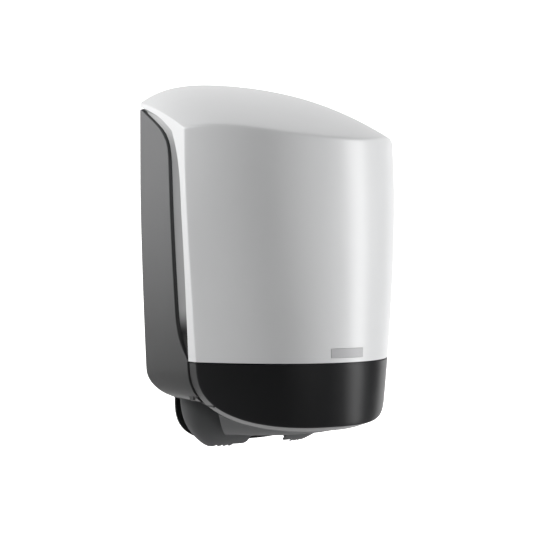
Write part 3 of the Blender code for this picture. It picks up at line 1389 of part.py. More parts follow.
KEEPER_THICK = 0.0044
KEEPER_FLANGE_HALF = 0.0105
KEEPER_FLANGE_THICK = 0.0030
KEEPER_FLANGE_ENDS = (0.0375, 0.0075)
HOOK_LENGTH = 0.0030           # the barb's hold behind the slide
HOOK_THICK = 0.0022
ARM_DROP = 0.0052
ARM_HEIGHT = 0.0070
ARM_RISE = 0.0040
ARM_BEVEL = 0.0012
ARM_KNEE = 0.0050
BARB_LENGTH = 0.0060
flange_back = CORNER_DEPTH - KEEPER_FLANGE_ENDS[0]
flange_front = CORNER_DEPTH - KEEPER_FLANGE_ENDS[1]
keeper_left = KEEPER_X - KEEPER_THICK / 2
arm_low = LATCH_Z - ARM_DROP
arm_high = arm_low + ARM_HEIGHT
barb_front = slide_back - GAP
barb_tip = barb_front - BARB_LENGTH
flange_low_z = KEEPER_TOP_Z - KEEPER_FLANGE_THICK
keeper_outline = [
    (-barb_tip, arm_low + ARM_BEVEL),
    (-barb_tip, arm_high - ARM_BEVEL),
    (-(slide_back + SINK), arm_high),
    (ARM_KNEE - flange_back, arm_high + ARM_RISE),
    (-flange_back, KEEPER_TOP_Z - KEEPER_FLANGE_THICK / 2),
    (-flange_front, KEEPER_TOP_Z - KEEPER_FLANGE_THICK / 2),
    (-flange_front, flange_low_z - KEEPER_FLANGE_THICK * 0.6),
    (-(flange_back + ARM_KNEE), arm_low + ARM_RISE),
    (-(slide_back + SINK), arm_low),
]
keeper = plate("cover_keeper", keeper_outline, keeper_left, KEEPER_THICK, "X", look=latch_black)
join(keeper, box("keeper_flange", (KEEPER_X - KEEPER_FLANGE_HALF, -flange_front, flange_low_z),
                 (KEEPER_X + KEEPER_FLANGE_HALF, -flange_back, KEEPER_TOP_Z)))
join(keeper, plate("keeper_barb", [
    (KEEPER_X, -barb_front),
    (WINDOW_LEFT - HOOK_LENGTH, -barb_front),
    (WINDOW_LEFT - HOOK_LENGTH, HOOK_THICK - barb_front),
    (KEEPER_X, GAP - barb_tip),
], arm_low + ARM_BEVEL + GAP, ARM_HEIGHT - 2 * (ARM_BEVEL + GAP), "Z"))
for number, (x, depth) in enumerate(KEEPER_SCREWS):
    cut(keeper, upright("keeper_hole_%d" % number, x, depth, flange_low_z - 2 * OVER, KEEPER_TOP_Z + SINK,
                        PILOT))
for label, (x, depth) in zip(("left", "right"), KEEPER_SCREWS):
    screw("keeper_screw_%s" % label, (x, -depth, flange_low_z - GAP), KEEPER_SCREW_LENGTH, 180.0)
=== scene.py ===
"""Wall dispenser for centrefeed paper rolls: each piece's looks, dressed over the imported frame.
Metres, +Z up, wall plane at Y = 0, front towards -Y."""

import json
from math import copysign, cos, dist, hypot, pi, radians, sin, sqrt

import bmesh
import bpy
from mathutils import Matrix, Vector

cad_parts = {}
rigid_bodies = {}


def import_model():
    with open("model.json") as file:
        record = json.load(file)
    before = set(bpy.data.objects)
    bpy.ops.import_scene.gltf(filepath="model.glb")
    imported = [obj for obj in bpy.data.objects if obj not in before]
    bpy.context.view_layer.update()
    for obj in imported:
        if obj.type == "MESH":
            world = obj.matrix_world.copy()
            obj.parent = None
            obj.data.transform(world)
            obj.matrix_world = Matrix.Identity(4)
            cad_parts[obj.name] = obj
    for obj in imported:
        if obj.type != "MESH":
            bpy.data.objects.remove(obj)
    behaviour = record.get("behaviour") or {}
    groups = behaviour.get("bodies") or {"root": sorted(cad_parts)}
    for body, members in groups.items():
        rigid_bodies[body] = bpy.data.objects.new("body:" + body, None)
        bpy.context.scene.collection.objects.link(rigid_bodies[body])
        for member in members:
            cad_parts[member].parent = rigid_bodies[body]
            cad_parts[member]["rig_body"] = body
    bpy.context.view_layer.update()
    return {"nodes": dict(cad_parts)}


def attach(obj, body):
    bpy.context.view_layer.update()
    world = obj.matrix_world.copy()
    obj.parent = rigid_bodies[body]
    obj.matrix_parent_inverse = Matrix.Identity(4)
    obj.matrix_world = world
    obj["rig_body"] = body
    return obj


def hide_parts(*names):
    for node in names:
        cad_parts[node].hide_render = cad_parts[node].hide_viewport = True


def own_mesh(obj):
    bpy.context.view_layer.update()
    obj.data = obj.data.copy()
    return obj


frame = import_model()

nodes = frame["nodes"]


# Cover shell
# Satin silver-white moulding: crowned sloping top, bulging front and narrow side strips in one sheet
# of even wall, with a flange and screw bosses behind the seam and two bosses for the keeper.


class Wire:
    """A socket of a node tree. Sums and products written on it add the Math nodes."""

    def __init__(self, tree, socket):
        self.tree = tree
        self.socket = socket

    def math(self, operation, first, second):
        made = self.tree.nodes.new("ShaderNodeMath")
        made.operation = operation
        plug(made.inputs[0], first)
        plug(made.inputs[1], second)
        return Wire(self.tree, made.outputs[0])

    def __add__(self, other):
        return self.math("ADD", self, other)

    def __mul__(self, other):
        return self.math("MULTIPLY", self, other)

    def __sub__(self, other):
        return self.math("SUBTRACT", self, other)

    def __rsub__(self, other):
        return self.math("SUBTRACT", other, self)


def plug(place, value):
    """Links a wire to an input, or sets the input to a plain value."""
    if isinstance(value, Wire):
        value.tree.links.new(value.socket, place)
    else:
        place.default_value = value


class Tree:
    """A node tree, with a method that adds any node and returns one of its outputs."""

    def node(self, kind, settings=None, values=None, output=0):
        made = self.tree.nodes.new(kind)
        for key, value in (settings or {}).items():
            setattr(made, key, value)
        for key, value in (values or {}).items():
            plug(made.inputs[key], value)
        return Wire(self.tree, made.outputs[output])


class Finish(Tree):
    """A material with one Principled shader."""

    def __init__(self, name, colour, roughness, metallic=0.0, gloss=0.5):
        self.material = bpy.data.materials.new(name)
        self.material.use_nodes = True
        self.tree = self.material.node_tree
        self.feed("Base Color", (*colour, 1.0))
        self.feed("Roughness", roughness)
        self.feed("Metallic", metallic)
        self.feed("Specular IOR Level", gloss)
        self.place = self.node("ShaderNodeTexCoord", output="Object")

    def feed(self, name, value):
        plug(self.tree.nodes["Principled BSDF"].inputs[name], value)

    def ramp(self, axis, start, end):
        """0 to 1 between two places along an axis of the object."""
        where = self.node("ShaderNodeSeparateXYZ", values={"Vector": self.place}, output=axis)
        return self.node("ShaderNodeMapRange", {"interpolation_type": "SMOOTHSTEP"},
                         {"Value": where, "From Min": start, "From Max": end})

    def noise(self, scale, detail=3.0, stretch=(1.0, 1.0, 1.0)):
        where = self.node("ShaderNodeMapping", values={"Vector": self.place, "Scale": stretch})
        return self.node("ShaderNodeTexNoise", values={"Vector": where, "Scale": scale, "Detail": detail})

    def mix(self, share, low, high):
        low, high = [end if isinstance(end, Wire) else (*end, 1.0) for end in (low, high)]
        return self.node("ShaderNodeMix", {"data_type": "RGBA"}, {0: share, 6: low, 7: high}, 2)

    def bump(self, height, distance):
        self.feed("Normal", self.node(
            "ShaderNodeBump", values={"Height": height, "Distance": distance, "Strength": 1.0}))


TONE = 0.05  # how far the mottling goes to each side of the colour
SMUDGE = 0.06  # spread of the roughness where hands have been
FINE_ROUGHNESS = 0.05  # and in the grain


def moulded(name, colour, roughness, grain, depth, gloss=0.5, painted_shade=None):
    """Injection-moulded plastic: fine grain, slight mottling and handling marks in the gloss.
    A painted shade darkens it from one height down to another, to a share of its colour, where less light
    falls."""
    finish = Finish(name, colour, roughness, gloss=gloss)
    fine = finish.noise(1.0 / grain, detail=2.0)
    broad = finish.noise(9.0, detail=4.0)
    flow = finish.noise(26.0, stretch=(1.0, 1.0, 0.22))
    patch = broad * 0.6 + flow * 0.4
    skin = finish.mix(patch, [c * (1.0 - TONE) for c in colour], [c * (1.0 + TONE) for c in colour])
    # Painted shade: from the high height down to the low one, the colour darkens to a share of itself.
    if painted_shade:
        low_z, high_z, share = painted_shade
        skin = finish.mix(finish.ramp("Z", low_z, high_z), [c * share for c in colour], skin)
    finish.feed("Base Color", skin)
    finish.feed("Roughness", (patch - 0.5) * SMUDGE + roughness + (fine - 0.5) * FINE_ROUGHNESS)
    finish.bump(fine, depth)
    return finish


helpers = []


def add(name, mesh, look=None):
    """Adds a piece in the making, or with no look a helper that only feeds a Boolean."""
    obj = bpy.data.objects.new(name, mesh)
    bpy.context.scene.collection.objects.link(obj)
    if look:
        mesh.materials.append(look.material)
    else:
        helpers.append(obj)
    return obj


def settled(obj):
    """Applies the modifiers and leaves a plain mesh."""
    bpy.context.view_layer.update()
    graph = bpy.context.evaluated_depsgraph_get()
    mesh = bpy.data.meshes.new_from_object(obj.evaluated_get(graph))
    obj.modifiers.clear()
    obj.data = mesh
    return obj


def reworked(mesh, distance, *steps):
    """Merges a mesh's points and runs further bmesh steps on it, which may also draw it."""
    work = bmesh.new()
    work.from_mesh(mesh)
    bmesh.ops.remove_doubles(work, verts=work.verts, dist=distance)
    for step in steps:
        step(work)
    work.to_mesh(mesh)
    work.free()
    return mesh


def seated(obj, slot, *stands_for, degrees=32.0):
    """Applies the modifiers, leaves a plain smooth mesh and puts the piece on its body."""
    settled(obj)
    mesh = obj.data
    mesh.transform(obj.matrix_world)
    obj.matrix_world = Matrix.Identity(4)
    reworked(mesh, WELD)
    mesh.shade_smooth()
    mesh.set_sharp_from_angle(angle=radians(degrees))
    even = obj.modifiers.new("even", "WEIGHTED_NORMAL")
    even.keep_sharp = True
    settled(obj)
    for helper in helpers:
        bpy.data.objects.remove(helper)
    helpers.clear()
    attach(obj, nodes[stands_for[0]]["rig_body"])
    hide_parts(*stands_for)


WALL = 0.0025  # moulded wall of every big piece
GAP = 0.0003  # drawn gap between pieces that touch
RUN = 0.0012  # running clearance between cover and base
SINK = 0.001  # how far a joined form runs into its piece
OVER = 0.004  # how far a cutter runs past a face
WELD = 0.000001  # points closer than this are one


def mesh_of(name, points, faces, outward=True):
    mesh = bpy.data.meshes.new(name)
    mesh.from_pydata(points, [], faces)
    steps = [lambda work: bmesh.ops.dissolve_degenerate(work, edges=work.edges, dist=WELD)]
    if outward:
        steps.append(lambda work: bmesh.ops.recalc_face_normals(work, faces=work.faces))
    return reworked(mesh, WELD, *steps)


def grid_faces(rows, columns):
    """Quads of a grid of points that is stored row by row."""
    return [(r * columns + c, (r + 1) * columns + c, (r + 1) * columns + c + 1, r * columns + c + 1)
            for r in range(rows - 1) for c in range(columns - 1)]


def loft(name, rings, look=None, half=False):
    """Closed solid through closed rings with the same count of points. A half one, at X >= 0, is open
    at its start, where a Mirror closes it."""
    count = len(rings[0])
    last = (len(rings) - 1) * count
    faces = [(r + c, r + (c + 1) % count, r + count + (c + 1) % count, r + count + c)
             for r in range(0, last, count) for c in range(count)]
    if not half:
        faces.append(tuple(range(count)))
    faces.append(tuple(range(last, last + count)))
    obj = add(name, mesh_of(name, [point for ring in rings for point in ring], faces), look)
    if half:
        mirror(obj)
    return obj


def box(name, low, high):

    def draw(work):
        bmesh.ops.create_cube(work, size=1.0)
        for vertex in work.verts:
            vertex.co = [a + (b - a) * (share + 0.5) for a, b, share in zip(low, high, vertex.co)]

    return add(name, reworked(bpy.data.meshes.new(name), WELD, draw))


def rod(name, start, end, radius, segments=12, look=None):
    """Cylinder between two points."""
    along = Vector(end) - Vector(start)
    mesh = reworked(bpy.data.meshes.new(name), WELD, lambda work: bmesh.ops.create_cone(
        work, cap_ends=True, segments=segments, radius1=radius, radius2=radius, depth=along.length))
    obj = add(name, mesh, look)
    obj.rotation_mode = "QUATERNION"
    obj.rotation_quaternion = along.to_track_quat("Z", "Y")
    obj.location = (Vector(start) + Vector(end)) / 2
    return obj


def uprights(name, places, low, high, radius, segments=12):
    """An upright rod at each place, given as X and depth."""
    return [rod(name, (x, -depth, low), (x, -depth, high), radius, segments) for x, depth in places]


def plate(name, outline, low, thick, axis="Z"):
    """Flat plate from a closed outline, raised along an axis from its low face."""
    turn = {"X": lambda a, b, h: (h, a, b), "Y": lambda a, b, h: (a, h, b),
            "Z": lambda a, b, h: (a, b, h)}[axis]
    return loft(name, [[turn(a, b, h) for a, b in outline] for h in (low, low + thick)])


def boolean(how, obj, others):
    for other in others:
        step = obj.modifiers.new(how.lower(), "BOOLEAN")
        step.operation = how
        step.solver = "EXACT"
        step.object = other


def cut(obj, *others):
    boolean("DIFFERENCE", obj, others)


def join(obj, *others):
    boolean("UNION", obj, others)


def mirror(obj):
    step = obj.modifiers.new("mirror", "MIRROR")
    step.use_clip = True
    step.merge_threshold = 20 * WELD


def ease_edges(obj, width=0.0004, degrees=48.0, segments=2):
    """Small roundings on every edge that is sharper than the angle."""
    ease = obj.modifiers.new("ease", "BEVEL")
    ease.width = width
    ease.segments = segments
    ease.limit_method = "ANGLE"
    ease.angle_limit = radians(degrees)
    ease.use_clamp_overlap = True


def blend(a, b, share):
    return tuple(p + (q - p) * share for p, q in zip(a, b))


def rounded(before, corner, after, share=0.5):
    """Point on the rounding of a corner between two points."""
    return blend(blend(before, corner, share), blend(corner, after, share), share)


def clamped(value):
    return min(1.0, max(0.0, value))


def grown(value, start, end, power, gain=1.0):
    """A gain that is nothing at the start and whole at the end, at a value between them."""
    return gain * max(0.0, (value - start) / (end - start)) ** power


def quarter(steps):
    """Angles from nothing to a quarter turn."""
    return [pi / 2 * i / steps for i in range(steps + 1)]


def arc(centre, radius, start, end, steps):
    """Points of an arc, in degrees."""
    turns = [radians(start + (end - start) * i / steps) for i in range(steps + 1)]
    return [(centre[0] + radius * cos(a), centre[1] + radius * sin(a)) for a in turns]


def oval(half_x, half_y, centre, z, power, count):
    """Superellipse ring at one height."""
    ring = []
    for i in range(count):
        c, s = cos(2 * pi * i / count), sin(2 * pi * i / count)
        ring.append((half_x * copysign(abs(c) ** (2.0 / power), c),
                     -centre + half_y * copysign(abs(s) ** (2.0 / power), s), z))
    return ring


HALF_WIDTH = 0.12  # at the front corners, at the widest height
HALF_WIDTH_BACK = 0.1205  # the same at the wall
TAPER_FRONT = 0.0112  # how far each front corner comes in, from the widest height to the seam
TAPER_BACK = 0.0055  # the same at the wall
CORNER_DEPTH = 0.1315  # wall to front corner
CORNER_LEAN = 0.0035  # how far the corner leans back at the top of the front
BULGE_LOW = 0.083  # the front's bulge ahead of its corners, at the seam
BULGE_HIGH = 0.078  # the same at the top of the front
BULGE_POWER = 2.2
TOP_Z = 0.2  # highest point, at the wall
CROWN = 0.0285  # crown of the top across the width
CROWN_ROUND_SHARE = 0.45
CROWN_POWER = 4.6
TOP_FALL = 0.0377  # fall of the top from the wall to the corner depth
TOP_CURVE = 0.01285  # further fall over the same depth
SEAM_Z = -0.103  # lower edge of the white cover
FRONT_TOP_Z = 0.123  # top of the front at its corners
WIDEST_Z = 0.087
LEAN_Z = 0.002  # here the corner stands furthest forward


def half_width(depth, z):
    fall = grown(z, WIDEST_Z, SEAM_Z, 1.5)
    back = HALF_WIDTH_BACK - TAPER_BACK * fall
    front = HALF_WIDTH - TAPER_FRONT * fall
    return back + (front - back) * depth / CORNER_DEPTH


def corner_depth(z):
    return CORNER_DEPTH - CORNER_LEAN * ((z - LEAN_Z) / (FRONT_TOP_Z - LEAN_Z)) ** 2


def corner_half_width(z):
    return half_width(corner_depth(z), z)


def front_depth(x, z):
    share = min(1.0, abs(x) / corner_half_width(z))
    high = (z - SEAM_Z) / (FRONT_TOP_Z - SEAM_Z)
    bulge = BULGE_LOW + (BULGE_HIGH - BULGE_LOW) * high
    return corner_depth(z) + bulge * (1.0 - share**BULGE_POWER)


def face_offset(x, z):
    """Depth between the outer and the inner face for a wall of even thickness."""
    slope = (front_depth(x, z) - front_depth(x - WALL, z)) / WALL
    return WALL * sqrt(1.0 + slope**2)


def top_z(x, depth):
    share = min(1.0, abs(x) / HALF_WIDTH)
    arch = (1.0 - CROWN_ROUND_SHARE) * share**CROWN_POWER + CROWN_ROUND_SHARE * share**2
    run = depth / CORNER_DEPTH
    return TOP_Z - CROWN * arch - TOP_FALL * run - TOP_CURVE * run**2


def front_edge(share, rounds=12):
    """Point where the top meets the front, at a share of the half width."""
    z = FRONT_TOP_Z
    for _ in range(rounds):
        x = share * corner_half_width(z)
        depth = front_depth(x, z)
        z = top_z(x, depth)
    return (x, depth, z)


EDGE_ROUND = 0.0024  # rounding where the top meets the front
CORNER_ROUND = 0.0012  # rounding where the front meets the side strip
STRIP_WIDTH = 0.013  # side strip at its narrowest
STRIP_LOW = (0.015, SEAM_Z, 1.5, 0.004)  # it widens from, to, with a power, by a width
STRIP_HIGH = (0.062, FRONT_TOP_Z, 2.2, 0.018)
LIP = 0.0046  # height of the lip along the top's side edges, at the wall
LIP_GROWTH = 0.003
LIP_HOOK = (0.55, 1.0, 1.5, 0.005)
COVER_BACK = 0.0008  # clearance of the cover to the wall
FRONT_ROWS = 30
TOP_ROWS = 20
COVER_SHARES = [0.975 * sin(a) for a in quarter(30)]
STRIP_SHARES = (0.4, 0.6, 0.8, 1.0)


def strip_width(z):
    return STRIP_WIDTH + grown(z, *STRIP_LOW) + grown(z, *STRIP_HIGH)


def side_point(depth, z):
    return (half_width(depth, z), depth, z)


def lip_point(depth):
    """Lower edge of the lip under the top's side edge."""
    share = depth / corner_depth(FRONT_TOP_Z)
    back = share * (corner_depth(FRONT_TOP_Z) - strip_width(FRONT_TOP_Z))
    return side_point(back, top_z(HALF_WIDTH, back) - LIP - LIP_GROWTH * share - grown(share, *LIP_HOOK))


def cover_row(kind, share):
    """One row of the cover's half sheet, from the middle line to the strip's rear edge."""

    def place(across):
        edge = front_edge(across)
        if kind == "top":
            depth = COVER_BACK + (edge[1] - COVER_BACK) * share
            x = across * half_width(depth, edge[2])
            return (x, depth, top_z(x, depth))
        z = edge[2] + (SEAM_Z - edge[2]) * share
        x = across * corner_half_width(z)
        return (x, front_depth(x, z), z)

    near = 1.0 - CORNER_ROUND / HALF_WIDTH
    row = [place(across) for across in COVER_SHARES if across < near]
    limit = place(1.0)
    if kind == "top":
        rear = lip_point(max(0.0, limit[1]))
    else:
        rear = side_point(limit[1] - strip_width(limit[2]), limit[2])
    after = blend(limit, rear, CORNER_ROUND / dist(limit, rear))
    row += [place(near), rounded(place(near), limit, after), after]
    return row + [side_point(*blend(limit, rear, back)[1:]) for back in STRIP_SHARES]


def cover_rows():
    reach, tall = front_edge(0.0)[1], front_edge(0.0)[2] - SEAM_Z
    upper = cover_row("top", 1.0 - EDGE_ROUND / reach)
    lower = cover_row("front", EDGE_ROUND / tall)
    rows = [cover_row("top", i / TOP_ROWS) for i in range(TOP_ROWS)]
    rows += [upper, [rounded(a, b, c) for a, b, c in zip(upper, cover_row("top", 1.0), lower)], lower]
    return rows + [cover_row("front", i / FRONT_ROWS) for i in range(1, FRONT_ROWS + 1)]


def half_sheet(name, rows, look):
    """Half sheet at X >= 0 that a Mirror completes and a Solidify thickens inwards."""
    points = [(x, -depth, z) for row in rows for x, depth, z in row]
    obj = add(name, mesh_of(name, points, grid_faces(len(rows), len(rows[0])), outward=False), look)
    mirror(obj)
    thick = obj.modifiers.new("wall", "SOLIDIFY")
    thick.thickness = WALL
    thick.offset = -1.0
    thick.use_even_offset = True
    return obj


FLANGE_DEPTH = 0.0085  # seam flanges, from the outer face inwards
FLANGE_THICK = 0.0026
SEAM_STEPS = 20


def seam_line(inset):
    """Line that follows the front at the seam, moved inwards."""
    wide = corner_half_width(SEAM_Z)
    shares = [-1.0 + 2.0 * i / SEAM_STEPS for i in range(SEAM_STEPS + 1)]
    return [(share * (wide - inset), inset - front_depth(share * wide, SEAM_Z)) for share in shares]


def seam_flange(name, low):
    """Flat flange behind the seam that follows the front."""
    return plate(name, seam_line(WALL / 2) + seam_line(FLANGE_DEPTH)[::-1], low, FLANGE_THICK)


SCREW_HEAD = 0.003  # radius of a screw's head, and of its shank
SCREW_SHANK = 0.0015
PILOT = SCREW_SHANK + GAP
BOSS_RADIUS = 0.004
BADGE_X = (-0.007496, 0.029504)
BADGE_Z = (-0.0985, -0.09)
BADGE_SUNK = 0.0008
BADGE_PROUD = 0.0002
BADGE_STEPS = 8
KEEPER_TOP_Z = 0.134
KEEPER_SCREWS = ((0.0611, 0.1), (0.0735, 0.118))


def band_screw(x):
    """X and depth of a screw that holds the band to the cover."""
    depth = front_depth(abs(x) + SCREW_HEAD, SEAM_Z) - face_offset(abs(x), SEAM_Z)
    return (x, depth - SCREW_HEAD - 2 * GAP)


def front_patch(name, margin, inner, outer, look=None):
    """The badge's form, between two offsets from the front face and with a margin all round."""
    left, right = BADGE_X[0] - margin, BADGE_X[1] + margin
    low, high = BADGE_Z[0] - margin, BADGE_Z[1] + margin
    rings = []
    for i in range(BADGE_STEPS + 1):
        x = left + (right - left) * i / BADGE_STEPS
        near, far = front_depth(x, low), front_depth(x, high)
        rings.append([(x, inner - near, low), (x, -outer - near, low),
                      (x, -outer - far, high), (x, inner - far, high)])
    return loft(name, rings, look)


cover_finish = moulded("cover_satin_white", (0.66, 0.665, 0.67), 0.36, 0.0009, 0.000006)
cover = half_sheet("cover_front", cover_rows(), cover_finish)
ease_edges(cover)
BAND_SCREWS = [band_screw(x) for x in (-0.078, -0.03, 0.03, 0.078)]
join(cover, seam_flange("cover_flange", SEAM_Z + GAP))
join(cover, *uprights("cover_boss", BAND_SCREWS, SEAM_Z + SINK, high=-0.0925, radius=0.0032))
cut(cover, *uprights("cover_pilot", BAND_SCREWS, SEAM_Z - OVER, high=-0.094, radius=PILOT))
cut(cover, front_patch("badge_pocket", GAP, BADGE_SUNK + GAP, OVER))
for x, depth in KEEPER_SCREWS:
    boss_high = top_z(x + BOSS_RADIUS, depth + BOSS_RADIUS) - WALL / 2
    join(cover, *uprights("keeper_boss", [(x, depth)], KEEPER_TOP_Z + GAP, boss_high, BOSS_RADIUS))
cut(cover, *uprights("keeper_pilot", KEEPER_SCREWS, KEEPER_TOP_Z - OVER, high=0.142, radius=PILOT))
seated(cover, "cover_white", "cover_shell")


# Badge plate
# Bare grey plate in its shallow pocket on the cover, where the photographed object has a name. It
# follows the front's curve and stands just proud of it.

badge_finish = moulded("badge_plain_grey", (0.42, 0.42, 0.43), 0.45, 0.0003, 0.000004)
badge = front_patch("blank_badge", 0.0, BADGE_SUNK, BADGE_PROUD, badge_finish)
seated(badge, "badge_grey", "badge_plate")


# Lower band
# Black fascia screwed under the cover's seam. Its face carries the front's curve on and sweeps in at
# the bottom, and its edge returns towards the wall and holds the two hinge ears.

BAND_LOW_Z = -0.1625  # the face's lowest edge
BAND_SWEEP_Z = -0.107  # from here down the outline sweeps in
BAND_TALL = BAND_SWEEP_Z - BAND_LOW_Z
BAND_POWER_X = 4.1
BAND_POWER_Z = 2.8
BAND_GAP = 0.0012  # seam to the band
RETURN_DEPTH = 0.017  # the band's edge returns this far towards the wall
RETURN_DROP = 0.0055  # and falls this much on the way, at the bottom
BAND_COLUMNS = 48
BAND_SPACING_POWER = 1.6
SEAM_REACH_SHARE = 0.965
BAND_SHARES = [0.95 * sin(a) for a in quarter(10)]


def band_half_width(z):
    share = clamped((BAND_SWEEP_Z - z) / BAND_TALL)
    return corner_half_width(z) * (1.0 - share**BAND_POWER_Z) ** (1.0 / BAND_POWER_X)


def band_low_z(x):
    """Lower outline of the band's face at a given distance from the middle."""
    share = min(1.0, abs(x) / corner_half_width((SEAM_Z + BAND_LOW_Z) / 2))
    return BAND_SWEEP_Z - BAND_TALL * (1.0 - share**BAND_POWER_X) ** (1.0 / BAND_POWER_Z)


def return_drop(x):
    """How much the band's return falls on its way back."""
    return RETURN_DROP * (1.0 - min(1.0, abs(x) / corner_half_width(SEAM_Z)) ** 2)


def band_path(turn):
    """Outline point of the face: 0 at the bottom middle, 1 at the seam's corner."""
    angle = turn * pi / 2
    z = BAND_SWEEP_Z - BAND_TALL * cos(angle) ** (2.0 / BAND_POWER_Z)
    x = corner_half_width(z) * sin(angle) ** (2.0 / BAND_POWER_X)
    return (x, front_depth(x, z), z)


def inset_path(path, distance):
    """The same outline moved inwards in the plane of the face."""
    moved = []
    for i, (x, _, z) in enumerate(path):
        before, after = path[max(i - 1, 0)], path[min(i + 1, len(path) - 1)]
        along_x, along_z = after[0] - before[0], after[2] - before[2]
        if i == 0:
            along_x, along_z = 1.0, 0.0
        if i == len(path) - 1:
            along_x, along_z = 0.0, 1.0
        length = hypot(along_x, along_z)
        moved.append((x - distance * along_z / length, z + distance * along_x / length))
    return moved


def band_sections():
    """Closed sections, from the bottom middle round to the seam's corner."""
    top = SEAM_Z - BAND_GAP
    wide = corner_half_width(top)
    path = [band_path((i / BAND_COLUMNS) ** BAND_SPACING_POWER) for i in range(BAND_COLUMNS + 1)]
    path.append((wide, front_depth(wide, top), top))
    sections = []
    for i, ((x, depth, z), (x_in, z_in)) in enumerate(zip(path, inset_path(path, WALL))):
        start = wide * SEAM_REACH_SHARE * i / (len(path) - 1)
        start_in = start * (wide - WALL) / wide
        z_in = min(z_in, top)
        drop = min(return_drop(x), top - z)

        def place(share, x_from, x_to, z_to, inward=False):
            level = top + (z_to - top) * share
            x_now = x_from + (x_to - x_from) * share
            back = face_offset(x_now, level) if inward else 0.0
            return (x_now, -(front_depth(x_now, level) - back), level)

        near_share = 1.0 - CORNER_ROUND / dist((start, top), (x, z))
        near = place(near_share, start, x, z)
        edge = (x, -depth, z)
        rear = (x, -(depth - RETURN_DEPTH), z - drop)
        back = blend(edge, rear, CORNER_ROUND / RETURN_DEPTH)
        section = [place(near_share * share, start, x, z) for share in BAND_SHARES]
        section += [near, rounded(near, edge, back), back, rear]
        section.append((x_in, -(depth - RETURN_DEPTH), z_in - drop))
        section += [place(share, start_in, x_in, z_in, True) for share in (1.0, *BAND_SHARES[::-1])]
        sections.append(section)
    return sections


PAD_RADIUS = SCREW_HEAD + GAP
PAD_LOW_Z = SEAM_Z - 3 * GAP - FLANGE_THICK
HINGE_DEPTH = 0.102
HINGE_Z = -0.137
PIN_RADIUS = 0.0025
EAR_X = 0.094  # middle of each hinge ear
EAR_THICK = 0.004
EAR_RADIUS = 0.0058
EAR_ROOT = 0.014  # height of the ear where it meets the face
EAR_ROOT_IN = 0.0012  # its lower front corner, inside the outline
EAR_NECK = 0.01
BORE_SEGMENTS = 32
ear_root_z = band_low_z(EAR_X) + EAR_ROOT_IN
ear_root_front = front_depth(EAR_X, ear_root_z) - EAR_ROOT_IN


def hinge_rod(name, start_x, end_x, radius, segments=BORE_SEGMENTS, look=None):
    """Rod on the hinge's line."""
    ends = [(x, -HINGE_DEPTH, HINGE_Z) for x in (start_x, end_x)]
    return rod(name, *ends, radius, segments, look)


band_finish = moulded("band_black_grained", (0.010, 0.0102, 0.011), 0.36, 0.0005, 0.00002, gloss=0.20)
band = loft("fascia_band", band_sections(), band_finish, half=True)
join(band, seam_flange("band_flange", SEAM_Z - GAP - FLANGE_THICK))
join(band, *uprights("band_pad", BAND_SCREWS, PAD_LOW_Z, SEAM_Z - 2 * GAP, PAD_RADIUS))
cut(band, *uprights("band_hole", BAND_SCREWS, PAD_LOW_Z - OVER, SEAM_Z + OVER, PILOT))
ear = arc((-HINGE_DEPTH, HINGE_Z), EAR_RADIUS, 90.0, -90.0, 16) + [
    (-(ear_root_front - RETURN_DEPTH + WALL), ear_root_z - GAP),
    (-(ear_root_front - 2 * EAR_ROOT_IN), ear_root_z),
    (-(ear_root_front + EAR_ROOT_IN / 2), ear_root_z + EAR_ROOT),
    (-(ear_root_front - EAR_ROOT), HINGE_Z + EAR_NECK)]
join(band, *[plate("ear", ear, side * EAR_X - EAR_THICK / 2, EAR_THICK, "X") for side in (-1, 1)])
cut(band, *[hinge_rod("ear_bore", side * EAR_X - EAR_THICK, side * EAR_X + EAR_THICK, PIN_RADIUS + GAP)
            for side in (-1, 1)])
seated(band, "band_black", "lower_band")


# Back shell
# One dark grey moulding that screws to the wall and carries everything else. Its flat sides end in
# rolled edges beside the finger recesses, and its skin has a fine spark-eroded grain. Its colour is
# painted darker towards the bottom as painted shade, and the recesses are painted light grey as a
# painted sheen that turns to painted shadow at their lower end.

PANEL_DEPTH = 0.089  # wall to the side panel's rolled edge
PANEL_TOP_Z = 0.1653  # the panel's edge line meets the wall here
PANEL_SLOPE = 1.95  # depth gained for each unit of height along the top edge
PANEL_POWER = 5.0
PANEL_SWEEP = (-0.055, SEAM_Z, 2.4, 0.0208)  # forward sweep of the rolled edge down to the seam
EDGE_LEAST = 0.0065
EDGE_GAP = 0.0018  # rolled edge to the band's return
EDGE_STEP = 0.0011  # rolled edge to the land below the seam
PANEL_STEP = 0.0025  # the same beside the recess
SWEEP_CLEARANCE = 0.0012
FLUTE_DEPTH = 0.016  # finger recess, from the side panel inwards
FLUTE_TOP = 0.006  # the same under the top's lip
FLUTE_RUN_LOW = 0.055  # the recess deepens over this height above the seam
FLUTE_RUN_HIGH = 0.06  # and fades over this height below FLUTE_TOP_Z
FLUTE_TOP_Z = 0.1533
SHELL_LAND = 0.0075  # the shell's front edge, in front of the recess
BASE_Z = -0.143  # underside
HEEL_DEPTH = 0.065  # rounded lower heel, depth and height
HEEL_HEIGHT = 0.0254
CURL = 0.01  # how far the side curls in at the underside
CURL_HEIGHT = 0.03
CURL_LIMIT = 0.97
BACK_WALL = 0.003
UNDER_LIP_Z = 0.1643
BEVEL = (0.0008, 0.2)  # widest, and at most this share of the panel's depth
EDGE_ROLL = (0.0022, 0.3)
EDGE_BEND = (0.0035, 0.6)
INSET_BACK = 0.6
CAVITY_OVER = 0.02
GUTTER_STEPS = 9
HALVINGS = 24


def band_rear(z):
    return front_depth(band_half_width(z), z) - RETURN_DEPTH


def rounded_off(size, share):
    """How far a quarter round of a size has come in at a share of its height."""
    return size * (1.0 - sqrt(1.0 - share**2))


def heel_depth(z):
    return rounded_off(HEEL_DEPTH, clamped((BASE_Z + HEEL_HEIGHT - z) / HEEL_HEIGHT))


def curl(z):
    return rounded_off(CURL, min(CURL_LIMIT, clamped((BASE_Z + CURL_HEIGHT - z) / CURL_HEIGHT)))


